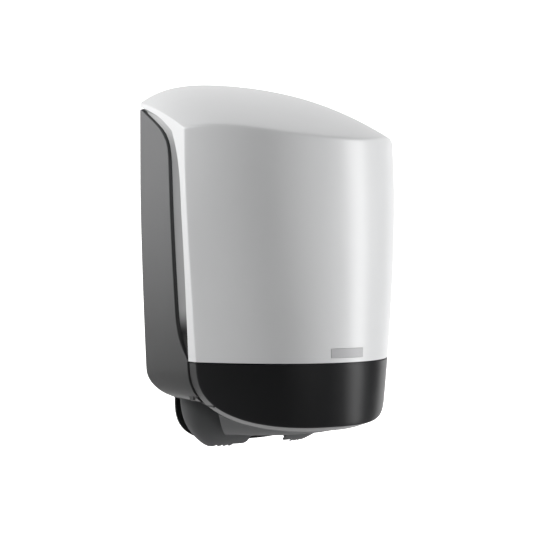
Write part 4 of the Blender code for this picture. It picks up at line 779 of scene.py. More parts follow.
def halved(low, high, beyond):
    """Value between two bounds from which on the test holds."""
    for _ in range(HALVINGS):
        middle = (low + high) / 2
        if beyond(middle):
            high = middle
        else:
            low = middle
    return low


def swept_depth(z):
    """Furthest depth beside the hinge that the band's return stays clear of as it swings."""
    side = half_width(HINGE_DEPTH, z) - curl(z)
    low = halved(BAND_LOW_Z, SEAM_Z, lambda level: band_half_width(level) > side)
    radius = hypot(band_rear(low) - HINGE_DEPTH, low - HINGE_Z) - SWEEP_CLEARANCE
    return HINGE_DEPTH + sqrt(radius**2 - (HINGE_Z - z) ** 2)


def panel_edge(z):
    """Depth of the side panel's rolled front edge."""
    if z < SEAM_Z:
        depth = band_rear(z) - EDGE_GAP
        return min(depth, swept_depth(z) - EDGE_STEP) if z < HINGE_Z else depth
    line = PANEL_SLOPE * max(WELD, PANEL_TOP_Z - z)
    depth = (line**-PANEL_POWER + PANEL_DEPTH**-PANEL_POWER) ** (-1.0 / PANEL_POWER)
    return depth + grown(z, *PANEL_SWEEP)


def cover_rear(z):
    """Depth of the cover's rear edge beside the back shell."""
    if z < FRONT_TOP_Z:
        return corner_depth(z) - strip_width(z)
    return lip_point(halved(0.0, corner_depth(FRONT_TOP_Z), lambda depth: lip_point(depth)[2] <= z))[1]


def eased(share):
    share = clamped(share)
    return share * share * (3.0 - 2.0 * share)


def recess(z):
    """How far the finger recess goes in at this height."""
    least = WALL + RUN
    if z <= SEAM_Z:
        return least
    deep = least + (FLUTE_DEPTH - least) * eased((z - SEAM_Z) / FLUTE_RUN_LOW)
    return FLUTE_TOP + (deep - FLUTE_TOP) * eased((FLUTE_TOP_Z - z) / FLUTE_RUN_HIGH)


def shell_ring(z, inset):
    """Ring of the back shell at one height. With an inset it is the ring of the room inside."""
    heel = heel_depth(z)
    start = heel + BACK_WALL if inset else heel
    under_lip = z > UNDER_LIP_Z
    edge = max(0.0 if under_lip else panel_edge(z), heel + EDGE_LEAST)
    rear = edge + (EDGE_STEP if z < SEAM_Z else PANEL_STEP)
    if SEAM_Z <= z <= UNDER_LIP_Z:
        rear = max(rear, cover_rear(z) + RUN)

    def wide(depth):
        base = half_width(min(depth, CORNER_DEPTH), z) - curl(z)
        return base - (FLUTE_TOP if under_lip else 0.0) - inset

    inner = wide(rear) - (0.0 if under_lip else recess(z))
    if z < SEAM_Z:
        inner = min(inner, band_half_width(z) - WALL - RUN - inset)
    edge_in = edge - inset
    rear_in = rear - inset * INSET_BACK
    roll = min(EDGE_ROLL[0], (edge_in - start) * EDGE_ROLL[1])
    bevel = min(BEVEL[0], (edge_in - start) * BEVEL[1])
    bend = min(EDGE_BEND[0], (wide(edge_in) - inner) * EDGE_BEND[1])
    depths = [start + (edge_in - start) * share for share in (0.35, 0.68)]
    half = [(0.0, start), (wide(start) - bevel, start), (wide(start), start + bevel)]
    half += [(wide(depth), depth) for depth in depths]
    before = (wide(edge_in - roll), edge_in - roll)
    after = (wide(edge_in) - bend, edge_in + GAP)
    half += [rounded(before, (wide(edge_in), edge_in), after, i / 4) for i in range(5)]
    hollow = 2.0 if SEAM_Z < z < UNDER_LIP_Z else 1.0
    for i in range(1, GUTTER_STEPS):
        share = i / GUTTER_STEPS
        fallen = 1.0 - (1.0 - share) ** hollow
        half.append((after[0] + (inner - after[0]) * fallen, after[1] + (rear_in - after[1]) * share))
    forward = rear + SHELL_LAND + (CAVITY_OVER if inset else 0.0)
    half += [(inner, rear_in), (inner, forward), (0.0, forward)]
    return [(x, -depth, z) for x, depth in half] + [(-x, -depth, z) for x, depth in half[-2:0:-1]]


def raised_sheet(name, rows, raised):
    """Closed solid between a grid of points and the same grid moved."""
    columns, last = len(rows[0]), len(rows) - 1
    low = [point for row in rows for point in row]
    count = len(low)
    faces = grid_faces(len(rows), columns)
    faces += [tuple(index + count for index in face) for face in faces]
    rim = list(range(columns))
    rim += [i * columns + columns - 1 for i in range(1, last + 1)]
    rim += [last * columns + j for j in range(columns - 2, -1, -1)]
    rim += [i * columns for i in range(last - 1, 0, -1)]
    faces += [(a, b, b + count, a + count) for a, b in zip(rim, rim[1:] + rim[:1])]
    return add(name, mesh_of(name, low + [raised(point) for point in low], faces))


ROOF_GAP = 0.0014
ROOF_OVER = 0.01
ROOF_STEPS = 24


def above_top(name, drop):
    """Everything above the cover's top, lowered by a distance."""
    half = [sin(a) for a in quarter(ROOF_STEPS)]
    across = [(HALF_WIDTH + ROOF_OVER) * share for share in [-share for share in half[:0:-1]] + half]
    depths = [-ROOF_OVER + (CORNER_DEPTH + 3 * ROOF_OVER) * i / ROOF_STEPS for i in range(ROOF_STEPS + 1)]
    rows = [[(x, -depth, top_z(x, max(depth, 0.0)) - drop) for x in across] for depth in depths]
    return raised_sheet(name, rows, lambda point: (point[0], point[1], TOP_Z + CORNER_DEPTH))


def between(start, end, steps, first, last):
    """Levels from one share of a height to another, closer together at both ends."""
    return [start + (end - start) * (first + (last - first) * (0.5 - 0.5 * cos(pi * i / steps)))
            for i in range(steps + 1)]


levels = between(BASE_Z, SEAM_Z, 26, 0.0, 0.9875)
levels += between(SEAM_Z, UNDER_LIP_Z, 44, 0.02, 0.9965)
levels += [PANEL_TOP_Z - 0.0005]
levels += [PANEL_TOP_Z + (TOP_Z - PANEL_TOP_Z) * share for share in (0.64, 1.10)]
# Painted shade: the shell's colour falls towards the bottom, to a small share of itself, where less light
# falls.
shell_finish = moulded("shell_dark_grey_moulded", (0.056, 0.057, 0.059), 0.40, 0.0006, 0.00002,
                       gloss=0.30, painted_shade=(-0.15, 0.08, 0.12))
# Painted sheen: the finger recesses of the dark shell are painted light grey to stand in for the light they
# catch. Their painted shade turns them to painted shadow at the lower end.
recess_sheen_finish = moulded("shell_recess_painted_sheen", (0.50, 0.502, 0.505), 0.45, 0.0006, 0.000006,
                        gloss=0.12, painted_shade=(-0.076, -0.050, 0.03))
SHEEN_START = 0.001  # the painted sheen begins this far in front of the rolled edge
shell = loft("casing_back", [shell_ring(z, 0.0) for z in levels], shell_finish)
shell.data.materials.append(recess_sheen_finish.material)
# The faces of the finger recesses take the painted sheen.
for face in shell.data.polygons:
    x, y, z = face.center
    if SEAM_Z < z < UNDER_LIP_Z and abs(x) > HALF_WIDTH / 2 and -y > panel_edge(z) + SHEEN_START:
        face.material_index = 1
FLOOR_Z = BASE_Z + BACK_WALL
room_levels = [FLOOR_Z] + [z for z in levels if z > FLOOR_Z + SINK]
room = loft("shell_room", [shell_ring(z, WALL) for z in room_levels])
cut(shell, above_top("over_roof", WALL + ROOF_GAP))
cut(room, above_top("under_roof", WALL + ROOF_GAP + WALL))
cut(shell, room)

APRON_WIDE = 0.082  # the back plate's apron behind the outlet
APRON_TOP_Z = -0.113
APRON_BEND_Z = -0.148
APRON_LOW_Z = -0.1985
APRON_POWERS = (3.2, 3.0)
APRON_STEPS = 24
apron = [(APRON_WIDE, APRON_TOP_Z)]
for angle in quarter(APRON_STEPS):
    apron.append((APRON_WIDE * cos(angle) ** (2.0 / APRON_POWERS[0]),
                  APRON_BEND_Z - (APRON_BEND_Z - APRON_LOW_Z) * sin(angle) ** (2.0 / APRON_POWERS[1])))
apron += [(-x, z) for x, z in apron[-2::-1]]
join(shell, plate("apron", apron, -BACK_WALL, BACK_WALL, "Y"))

OPENING_X = 0.066  # half width of the paper's opening in the floor
OPENING_BACK = 0.0125
BRACKET_THICK = 0.004
BRACKET_RADIUS = 0.006
PIN_LENGTH = 0.0115
cut(shell, box("floor_opening", (-OPENING_X, -0.15, BASE_Z - OVER),
               (OPENING_X, -OPENING_BACK, FLOOR_Z + SINK)))
for side in (-1, 1):
    cut(shell, box("ear_slot", (side * EAR_X - 0.0028, -0.1495, BASE_Z - OVER),
                   (side * EAR_X + 0.0028, -0.084, -0.125)))
bracket = arc((-HINGE_DEPTH, HINGE_Z), BRACKET_RADIUS, 0.0, 180.0, 16)
bracket += [(-HINGE_DEPTH - BRACKET_RADIUS, BASE_Z + SINK), (-HINGE_DEPTH + BRACKET_RADIUS, BASE_Z + SINK)]
for side in (-1, 1):
    inner = side * (EAR_X - EAR_THICK / 2 - GAP)
    join(shell, hinge_rod("hinge_boss", side * (EAR_X + EAR_THICK / 2 + GAP), side * 0.103, radius=0.0056))
    inner = min(inner, inner - side * BRACKET_THICK)
    join(shell, plate("hinge_bracket", bracket, inner, BRACKET_THICK, "X"))
cut(shell, *[hinge_rod("pin_hole", side * (EAR_X - 2 * EAR_THICK), side * (EAR_X + PIN_LENGTH / 2 + SINK),
                       PIN_RADIUS + GAP) for side in (-1, 1)])

TRAY_SCREWS = [(side * x, depth) for x, depth in ((0.077, 0.043), (0.072, 0.068)) for side in (-1, 1)]
PLATFORM_SCREWS = [(side * 0.079, depth) for depth in (0.055, 0.088) for side in (-1, 1)]
PLATFORM_TOP_Z = -0.128
PLATFORM_THICK = 0.004
cut(shell, *[rod("wall_hole", (x, OVER, z), (x, -BACK_WALL - OVER, z), radius=0.0028, segments=24)
             for z in (0.14, -0.08) for x in (-0.075, 0.075)])
cut(shell, *uprights("tray_hole", TRAY_SCREWS, BASE_Z - OVER, FLOOR_Z + OVER, PILOT))
join(shell, *uprights("platform_boss", PLATFORM_SCREWS, BASE_Z + SINK, -0.1323, BOSS_RADIUS, 24))
cut(shell, *uprights("platform_pilot", PLATFORM_SCREWS, low=-0.1414, high=-0.123, radius=PILOT))

LATCH_Z = 0.112
BRACKET_SCREW_X = (0.032, 0.086)
BUTTON_DEPTH = 0.04
BUTTON_RADIUS = 0.011
BUTTON_TRAVEL = 0.004
BARREL_BACK = 0.009  # outer face of the side to the barrel's inner end
CAM_THICK = 0.0022
button_wall = half_width(BUTTON_DEPTH, LATCH_Z)
barrel_start = button_wall - BARREL_BACK
cam_low = barrel_start - GAP - CAM_THICK
stop_high = cam_low - 2 * GAP - BUTTON_TRAVEL
cut(shell, rod("button_hole", (button_wall - 2 * OVER, -BUTTON_DEPTH, LATCH_Z),
               (button_wall + 2 * OVER, -BUTTON_DEPTH, LATCH_Z), radius=0.0115, segments=64))
cut(shell, *[rod("bracket_pilot", (x, -BACK_WALL * 0.4, LATCH_Z), (x, -3 * BACK_WALL, LATCH_Z), PILOT)
             for x in BRACKET_SCREW_X])
join(shell, box("lock_stop", (stop_high - 0.003, -0.03, 0.107), (stop_high, -BACK_WALL / 2, 0.117)))
seated(shell, "shell_dark_grey", "back_shell")


# Outlet tray
# Dark grey moulding screwed under the casing: a bowl that ends in two lobes with a short saw line
# each, the tear arch between them, and a funnel that runs forward under the band.

TRAY_TOP_Z = BASE_Z - GAP
BOWL_LOW_Z = -0.199  # the lobes' lowest edge
BOWL_CENTRE = 0.047  # depth of the bowl's centre
BOWL_HALF = (0.09, 0.0425)  # half sizes at the top, across and in depth
BOWL_FOOT_IN = 0.034  # the foot is this much less across
BOWL_FOOT_HALF_Y = 0.014
BOWL_FOOT_BACK = 0.017  # the foot stands this far behind the top
BOWL_POWER = 2.6
BOWL_SHRINK_POWERS = (2.4, 0.85)
BOWL_POINTS = 96


def bowl_rings(inset, top, bottom):
    rings = []
    for angle in quarter(16):
        z = top + (bottom - top) * sin(angle)
        down = clamped((TRAY_TOP_Z - z) / (TRAY_TOP_Z - BOWL_LOW_Z))
        shrink = 1.0 - (1.0 - down ** BOWL_SHRINK_POWERS[0]) ** BOWL_SHRINK_POWERS[1]
        half_x = BOWL_HALF[0] - BOWL_FOOT_IN * shrink - inset
        half_y = BOWL_HALF[1] + (BOWL_FOOT_HALF_Y - BOWL_HALF[1]) * shrink - inset
        centre = BOWL_CENTRE - BOWL_FOOT_BACK * shrink
        rings.append(oval(half_x, half_y, centre, z, BOWL_POWER, BOWL_POINTS))
    return rings


tray_finish = moulded("tray_dark_grey", (0.070, 0.071, 0.073), 0.68, 0.0006, 0.00002, gloss=0.12)
tray = loft("outlet_bowl", bowl_rings(0.0, TRAY_TOP_Z, BOWL_LOW_Z), tray_finish)
ARCH_TOP_Z = -0.186
FUNNEL_COLUMNS = 48
FUNNEL_ROWS = 12
FUNNEL_HALF = 0.0875
FUNNEL_RIM_HALF = 0.05
FUNNEL_RIM_DEPTH = 0.064
FUNNEL_RIM_Z = -0.184
FUNNEL_GAP = 0.003
FUNNEL_SAG = 0.0035
FUNNEL_OVERLAP = 0.0006


def funnel_point(across, share):
    """Point of the funnel's underside, from the band's return to the bowl."""
    x_out = across * FUNNEL_HALF
    z_out = band_low_z(x_out) + FUNNEL_OVERLAP
    outer = (x_out, front_depth(x_out, z_out) - RETURN_DEPTH - FUNNEL_GAP, z_out - return_drop(x_out))
    inner = (across * FUNNEL_RIM_HALF, FUNNEL_RIM_DEPTH, FUNNEL_RIM_Z)
    x, depth, z = blend(outer, inner, share)
    return (x, -depth, z - FUNNEL_SAG * sin(pi * share))


funnel = [[funnel_point(-1.0 + 2.0 * j / FUNNEL_COLUMNS, i / FUNNEL_ROWS)
           for j in range(FUNNEL_COLUMNS + 1)] for i in range(FUNNEL_ROWS + 1)]
join(tray, raised_sheet("front_funnel", funnel, lambda point: (point[0], point[1], point[2] + WALL)))
cut(tray, loft("bowl_inside", bowl_rings(WALL, TRAY_TOP_Z - FLANGE_THICK, BOWL_LOW_Z - OVER)))
for x, rear, front, low in ((0.04, 0.07, 0.096, -0.1693), (OPENING_X, OPENING_BACK, 0.083, -0.1513)):
    cut(tray, box("tray_opening", (-x, -front, low), (x, -rear, TRAY_TOP_Z + OVER)))

ARCH_X = 0.022  # half width of the arch between the two lobes
ARCH_REAR_X = 0.042  # the same through the bowl's rear wall
ARCH_DEPTHS = (0.004, 0.12)
ARCH_ROUND = 0.001
FOOT_CENTRE = 0.03
KNOB_WIDTH = 0.0134  # smooth rounded inner end of each lobe
KNOB_Z = -0.1957
KNOB_RADIUS = 0.0034
TOOTH_COUNT = 3
TOOTH_HEIGHT = 0.0026
TOOTH_PITCH = 0.0056
TOOTH_FLAT = (0.2, 0.8)  # a tooth's slope runs between these shares of its pitch
TEETH_LOW_Z = BOWL_LOW_Z + 0.0002
OUTLET_LOW_Z = BOWL_LOW_Z - 2 * OVER


def lobe_edge():
    """Lower edge of one lobe, from the arch outwards: rounded end, then a short saw line."""
    points = [(ARCH_X - ARCH_ROUND, ARCH_TOP_Z), (ARCH_X, ARCH_TOP_Z - ARCH_ROUND)]
    points += arc((ARCH_X + KNOB_RADIUS, KNOB_Z + KNOB_RADIUS), KNOB_RADIUS, 180.0, 270.0, 4)
    x = ARCH_X + KNOB_WIDTH
    points.append((x, KNOB_Z))
    for _ in range(TOOTH_COUNT):
        points.append((x + TOOTH_PITCH * TOOTH_FLAT[0], TEETH_LOW_Z))
        points.append((x + TOOTH_PITCH * TOOTH_FLAT[1], BOWL_LOW_Z + TOOTH_HEIGHT))
        x += TOOTH_PITCH
    outer = BOWL_HALF[0] - BOWL_FOOT_IN + TOOTH_PITCH
    return points + [(x + TOOTH_PITCH * TOOTH_FLAT[0], TEETH_LOW_Z), (outer, TEETH_LOW_Z),
                     (outer, OUTLET_LOW_Z)]


outline = [(-x, z) for x, z in lobe_edge()[::-1]] + lobe_edge()
cut(tray, plate("outlet_arch", outline, -ARCH_DEPTHS[1], ARCH_DEPTHS[1] - ARCH_DEPTHS[0], "Y"))
cut(tray, box("rear_arch", (-ARCH_REAR_X, -FOOT_CENTRE, OUTLET_LOW_Z - SINK),
              (ARCH_REAR_X, -ARCH_DEPTHS[0] - SINK, ARCH_TOP_Z - SINK)))
join(tray, *uprights("tray_boss", TRAY_SCREWS, low=-0.1553, high=TRAY_TOP_Z - SINK, radius=0.0038))
cut(tray, *uprights("tray_pilot", TRAY_SCREWS, low=-0.1538, high=TRAY_TOP_Z + OVER, radius=PILOT))
x, y, z = funnel_point(across=0.61, share=0.27)
join(tray, *uprights("tray_post", ((-x, -y), (x, -y)), z + WALL / 2, z + 0.0115, BOSS_RADIUS, 24))
seated(tray, "tray_grey", "outlet_tray")


# Roll platform
# Mid-grey shelf that the roll stands on, over the outlet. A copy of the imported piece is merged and
# its edges are eased.

PACKED_WELD = 0.00001
PACKED_FLAT = radians(0.4)


def redrawn(node, piece, look, slot, round_off=0.00025):
    """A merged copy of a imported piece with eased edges, which stands for it."""
    mesh = nodes[node].data.copy()
    mesh.name = piece
    mesh.materials.clear()
    reworked(mesh, PACKED_WELD, lambda work: bmesh.ops.dissolve_limit(
        work, angle_limit=PACKED_FLAT, verts=work.verts, edges=work.edges))
    obj = add(piece, mesh, look)
    ease_edges(obj, round_off)
    seated(obj, slot, node)


platform_finish = moulded("platform_mid_grey", (0.22, 0.22, 0.23), 0.5, 0.0006, 0.00002)
redrawn("roll_platform", "roll_floor", platform_finish, "platform_grey")


# Paper chute
# White oval funnel that drops into the platform and leads the paper down and back to the outlet.

CHUTE_CENTRE = 0.105  # depth of its mouth, under the roll's core
CHUTE_HALF = (0.033, 0.03)
CHUTE_FOOT_SHIFT = 0.047  # the foot stands this far behind the mouth
CHUTE_FOOT_RADIUS = 0.019
CHUTE_DROP = 0.042
CHUTE_WALL = 0.0022
CHUTE_RIM = 0.004
CHUTE_POINTS = 72
RIM_LOW_Z = PLATFORM_TOP_Z - 0.002 + GAP


def chute_ring(share, grow, z=None):
    """Ring at a share of the way down, grown or shrunk, at its own height or a given one."""
    half_x, half_y = [half + (CHUTE_FOOT_RADIUS - half) * share + grow for half in CHUTE_HALF]
    if z is None:
        z = PLATFORM_TOP_Z - PLATFORM_THICK - (CHUTE_DROP - PLATFORM_THICK) * share
    return oval(half_x, half_y, CHUTE_CENTRE - CHUTE_FOOT_SHIFT * share, z, 2.0, CHUTE_POINTS)


chute_finish = moulded("chute_white", (0.55, 0.55, 0.55), 0.4, 0.0008, 0.00001)
chute = loft("paper_guide", [
    chute_ring(0.0, CHUTE_RIM, PLATFORM_TOP_Z - GAP), chute_ring(0.0, CHUTE_RIM, RIM_LOW_Z),
    chute_ring(0.0, 0.0, RIM_LOW_Z), chute_ring(0.0, 0.0), chute_ring(0.5, 0.0), chute_ring(1.0, 0.0),
], chute_finish)
cut(chute, loft("chute_bore", [
    chute_ring(0.0, -CHUTE_WALL, PLATFORM_TOP_Z + OVER),
    chute_ring(0.0, -CHUTE_WALL, PLATFORM_TOP_Z - SINK),
    chute_ring(0.0, -CHUTE_WALL), chute_ring(0.5, -CHUTE_WALL), chute_ring(1.0, -CHUTE_WALL),
    chute_ring(1.0, -CHUTE_WALL, PLATFORM_TOP_Z - CHUTE_DROP - OVER)]))
ease_edges(chute, width=0.0003)
seated(chute, "chute_white", "paper_chute")


# Latch mouldings
# Black channel on the back plate with the grey slide in it, and the black keeper under the cover.

latch_finish = moulded("latch_black_moulded", (0.022, 0.022, 0.024), 0.45, 0.0005, 0.00001)
redrawn("latch_bracket", "latch_channel", latch_finish, "latch_black")
redrawn("cover_keeper", "keeper_hook", latch_finish, "latch_black")
slide_finish = moulded("slide_grey_moulded", (0.30, 0.30, 0.31), 0.4, 0.0005, 0.00001)
redrawn("latch_slide", "slide_plate", slide_finish, "slide_grey")


# Release button
# Round grey button in the right side, with a rim behind the wall, a foot against the slide and a
# bore for the lock. Its face is slightly dished and its edge rounded.

BUTTON_PROUD = 0.0048
BUTTON_BACK = 0.0072  # outer face of the side to the button's inner end
BUTTON_ROUND = 0.0009
BUTTON_DISH = 0.0004
RIM_RADIUS = 0.013
RIM_THICK = 0.0016
BARREL_RADIUS = 0.0052
button_end = button_wall + BUTTON_PROUD
button_start = button_wall - BUTTON_BACK
rim_high = button_wall - WALL - GAP


def turned(name, stations, look=None, segments=72):
    """Body turned about the button's line from pairs of place along X and radius."""
    return loft(name, [[(x, a - BUTTON_DEPTH, LATCH_Z + b)
                        for a, b, _ in oval(radius, radius, 0.0, 0.0, 2.0, segments)]
                       for x, radius in stations], look)


button_finish = moulded("button_grey_moulded", (0.16, 0.16, 0.17), 0.4, 0.0005, 0.00001)
button = turned("push_button", [
    (button_start, BUTTON_RADIUS), (rim_high - RIM_THICK, BUTTON_RADIUS),
    (rim_high - RIM_THICK, RIM_RADIUS), (rim_high, RIM_RADIUS), (rim_high, BUTTON_RADIUS),
    *[(button_end - BUTTON_ROUND * (1.0 - sin(a)), BUTTON_RADIUS - BUTTON_ROUND * (1.0 - cos(a)))
      for a in quarter(5)],
    (button_end - BUTTON_DISH, BARREL_RADIUS + GAP + BUTTON_DISH),
    (button_end - BUTTON_DISH, BARREL_RADIUS / 2),
], button_finish)
join(button, box("button_foot", (0.1018, -0.0546, 0.105), (rim_high - RIM_THICK / 2, -0.0466, 0.119)))
cut(button, turned("barrel_bore", [(button_start - OVER, BARREL_RADIUS + GAP),
                                   (button_end + OVER, BARREL_RADIUS + GAP)]))
seated(button, "button_grey", "release_button")


# Lock
# Zinc-plated barrel with a key slot in the button's bore, and the cam on its tail.

TAIL_RADIUS = 0.0024
barrel_end = button_end - GAP


def plated(name):
    """Zinc plate: cloudy grey metal with a soft shine."""
    finish = Finish(name, (0.62, 0.62, 0.63), 0.34, 1.0)
    cloud = finish.noise(160.0, detail=4.0)
    finish.feed("Roughness", cloud * 0.16 + 0.28)
    finish.feed("Base Color", finish.mix(cloud, (0.55, 0.56, 0.58), (0.68, 0.68, 0.67)))
    finish.bump(cloud, 0.00001)
    return finish


steel_finish = plated("zinc_plate")
barrel = turned("key_barrel", [
    (cam_low - GAP, TAIL_RADIUS), (barrel_start, TAIL_RADIUS), (barrel_start, BARREL_RADIUS),
    (barrel_end - 2 * GAP, BARREL_RADIUS), (barrel_end, BARREL_RADIUS - 2 * GAP)], steel_finish)
cut(barrel, box("key_slot", (barrel_end - 0.006, -0.0409, 0.1086), (barrel_end + SINK, -0.0391, 0.1154)))
seated(barrel, "zinc_steel", "lock_barrel")
redrawn("lock_cam", "cam_plate", steel_finish, "zinc_steel", 0.0002)


# Hinge pins
# Zinc-plated pins with a rounded end, pressed through the bosses and the band's ears.

for side, label in ((-1, "left"), (1, "right")):
    pin = hinge_rod("pivot_%s" % label, side * (EAR_X - PIN_LENGTH / 2), side * (EAR_X + PIN_LENGTH / 2),
                    PIN_RADIUS, 48, steel_finish)
    ease_edges(pin, width=0.0005, segments=3)
    seated(pin, "zinc_steel", "hinge_pin_%s" % label)


# Latch spring
# Coil of zinc-plated wire between the channel's end and the slide, swept along a helix in Geometry
# Nodes.

SPRING_ROOM = (0.0227, 0.0437)  # from the channel's end to the slide
SPRING_DEPTH = 0.0535
SPRING_RADIUS = 0.0034
SPRING_WIRE = 0.00045
SPRING_TURNS = 7.0
spring_left = SPRING_ROOM[0] + SPRING_WIRE
spring_right = SPRING_ROOM[1] - SPRING_WIRE


class Nodes(Tree):
    """A Geometry Nodes tree."""

    def __init__(self, name):
        self.tree = bpy.data.node_groups.new(name, "GeometryNodeTree")
        for way in ("INPUT", "OUTPUT"):
            self.tree.interface.new_socket("Geometry", in_out=way, socket_type="NodeSocketGeometry")
        self.source = self.tree.nodes.new("NodeGroupInput")
        self.sink = self.tree.nodes.new("NodeGroupOutput")
        self.keys = {}

    def given(self, name):
        return Wire(self.tree, self.source.outputs[name])

    def named(self, name, kind):
        """Adds a named input and returns its wire."""
        item = self.tree.interface.new_socket(name, in_out="INPUT", socket_type="NodeSocket" + kind)
        self.keys[name] = item.identifier
        return self.given(name)

    def end(self, geometry, look):
        whole = self.node("GeometryNodeRealizeInstances", values={"Geometry": geometry})
        painted = self.node("GeometryNodeSetMaterial", values={"Geometry": whole, "Material": look})
        plug(self.sink.inputs["Geometry"], painted)

    def put(self, obj, values):
        """Adds the tree to an object with its inputs set. The mesh is left plain by seated()."""
        step = obj.modifiers.new("nodes", "NODES")
        step.node_group = self.tree
        for name, value in values.items():
            step[self.keys[name]] = value


coil = Nodes("coil_spring")
coil_radius = coil.named("Radius", "Float")
helix = coil.node("GeometryNodeCurveSpiral", values={
    "Resolution": 40, "Rotations": SPRING_TURNS, "Start Radius": coil_radius, "End Radius": coil_radius,
    "Height": coil.named("Length", "Float")})
ring = coil.node("GeometryNodeCurvePrimitiveCircle", values={
    "Resolution": 12, "Radius": coil.named("Wire", "Float")})
swept = coil.node("GeometryNodeCurveToMesh", values={
    "Curve": helix, "Profile Curve": ring, "Fill Caps": True})
coil.end(swept, coil.named("Look", "Material"))
spring = add("return_spring", bpy.data.meshes.new("return_spring"), steel_finish)
coil.put(spring, {"Length": spring_right - spring_left, "Radius": SPRING_RADIUS, "Wire": SPRING_WIRE,
                  "Look": steel_finish.material})
spring.matrix_world = (Matrix.Translation((spring_left, -SPRING_DEPTH, LATCH_Z))
                       @ Matrix.Rotation(pi / 2, 4, "Y"))
seated(spring, "zinc_steel", "latch_spring", degrees=60.0)
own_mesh(spring)


# Screws
# Zinc-plated pan-head screws with a cross recess and a coarse thread, set out by Geometry Nodes: one
# drawn screw of each length stands on the points of a mesh that keeps each screw's length and turn.

SCREW_HEAD_HEIGHT = 0.002
HEAD_EDGE_SHARE = 0.35
SCREW_TIP = 0.0008
SCREW_LENGTH = 0.011
KEEPER_SCREW_LENGTH = 0.0095
PLATFORM_SCREW_LENGTH = 0.0085
BRACKET_SCREW_LENGTH = 0.0038
LENGTHS = (SCREW_LENGTH, KEEPER_SCREW_LENGTH, PLATFORM_SCREW_LENGTH, BRACKET_SCREW_LENGTH)
THREAD_DEPTH = 0.00025
THREAD_PITCH = 0.0009
CROSS_HALF = (0.0018, 0.0004)
CROSS_LOW = 0.0008
SCREW_POINTS = 28


def drawn_screw(length):
    """One screw about the origin, head towards +Z: domed head, threaded shank, tapered point."""
    root = SCREW_SHANK - THREAD_DEPTH
    turns = round((length - SCREW_TIP) / THREAD_PITCH)
    profile = [(SCREW_SHANK * 0.12, -length), (root, SCREW_TIP - length)]
    for i in range(turns - 1, -1, -1):
        z = -(length - SCREW_TIP) * i / turns
        profile += [(SCREW_SHANK, z - THREAD_PITCH / 2), (root, z - GAP / 3)]
    profile.append((SCREW_HEAD, 0.0))
    profile += [(SCREW_HEAD * cos(a),
                 SCREW_HEAD_HEIGHT * (HEAD_EDGE_SHARE + (1.0 - HEAD_EDGE_SHARE) * sin(a)))
                for a in quarter(8)[:-1]]
    body = loft("drawn_screw", [oval(radius, radius, 0.0, z, 2.0, SCREW_POINTS) for radius, z in profile],
                steel_finish)
    for x, y in (CROSS_HALF, CROSS_HALF[::-1]):
        cut(body, box("cross_arm", (-x, -y, CROSS_LOW), (x, y, SCREW_HEAD_HEIGHT + SINK)))
    settled(body)
    bpy.context.scene.collection.objects.unlink(body)
    return body


screw_set = Nodes("screw_set")
kind_of = screw_set.node("GeometryNodeInputNamedAttribute", {"data_type": "INT"}, {"Name": "kind"})
turn_of = screw_set.node("GeometryNodeInputNamedAttribute", {"data_type": "FLOAT_VECTOR"}, {"Name": "turn"})
facing = screw_set.node("FunctionNodeEulerToRotation", values={"Euler": turn_of})
together = screw_set.tree.nodes.new("GeometryNodeJoinGeometry")
for kind in range(len(LENGTHS)):
    picture = screw_set.node("GeometryNodeObjectInfo", values={
        "Object": screw_set.named("Screw %d" % kind, "Object")}, output="Geometry")
    same = screw_set.node("FunctionNodeCompare", {"data_type": "INT", "operation": "EQUAL"},
                          {2: kind_of, 3: kind})
    plug(together.inputs[0], screw_set.node("GeometryNodeInstanceOnPoints", values={
        "Points": screw_set.given("Geometry"), "Selection": same, "Instance": picture, "Rotation": facing}))
screw_set.end(Wire(screw_set.tree, together.outputs[0]), screw_set.named("Look", "Material"))
drawn = [drawn_screw(length) for length in LENGTHS]


def screws(name, rows, *stands_for):
    """One object for all screws of a body, from rows of place, length and turn about X in degrees."""
    mesh = bpy.data.meshes.new(name)
    mesh.from_pydata([place for place, _, _ in rows], [], [])
    kinds = mesh.attributes.new("kind", "INT", "POINT")
    turns = mesh.attributes.new("turn", "FLOAT_VECTOR", "POINT")
    for i, (_, length, turn) in enumerate(rows):
        kinds.data[i].value = LENGTHS.index(length)
        turns.data[i].vector = (radians(turn), 0.0, 0.0)
    obj = add(name, mesh, steel_finish)
    values = {"Screw %d" % i: screw for i, screw in enumerate(drawn)}
    screw_set.put(obj, {"Look": steel_finish.material, **values})
    seated(obj, "zinc_steel", *stands_for, degrees=40.0)


def standing(places, z, length, turn):
    return [((x, -depth, z), length, turn) for x, depth in places]


QUARTERS = ("rear_left", "rear_right", "front_left", "front_right")
BRACKET_FACE = 0.0057  # depth of the channel's front face, that its screws stand on
KEEPER_FLANGE_Z = 0.131
screws("casing_screws",
       standing(TRAY_SCREWS, FLOOR_Z + GAP, SCREW_LENGTH, 0.0)
       + standing(PLATFORM_SCREWS, PLATFORM_TOP_Z - SCREW_HEAD_HEIGHT - GAP, PLATFORM_SCREW_LENGTH, 0.0)
       + standing([(x, BRACKET_FACE + GAP) for x in BRACKET_SCREW_X], LATCH_Z, BRACKET_SCREW_LENGTH, 90.0),
       *["%s_screw_%s" % (piece, quarter) for piece in ("tray", "platform") for quarter in QUARTERS],
       "bracket_screw_left", "bracket_screw_right")
screws("cover_screws",
       standing(BAND_SCREWS, PAD_LOW_Z - GAP, SCREW_LENGTH, 180.0)
       + standing(KEEPER_SCREWS, KEEPER_FLANGE_Z - GAP, KEEPER_SCREW_LENGTH, 180.0),
       "band_screw_outer_left", "band_screw_inner_left", "band_screw_inner_right", "band_screw_outer_right",
       "keeper_screw_left", "keeper_screw_right")
for screw in drawn:
    bpy.data.objects.remove(screw)


# Studio
# Pale sweep whose wall glows softly, a high left softbox, a tall right one, a rim light, a weak top
# light and a large front fill.

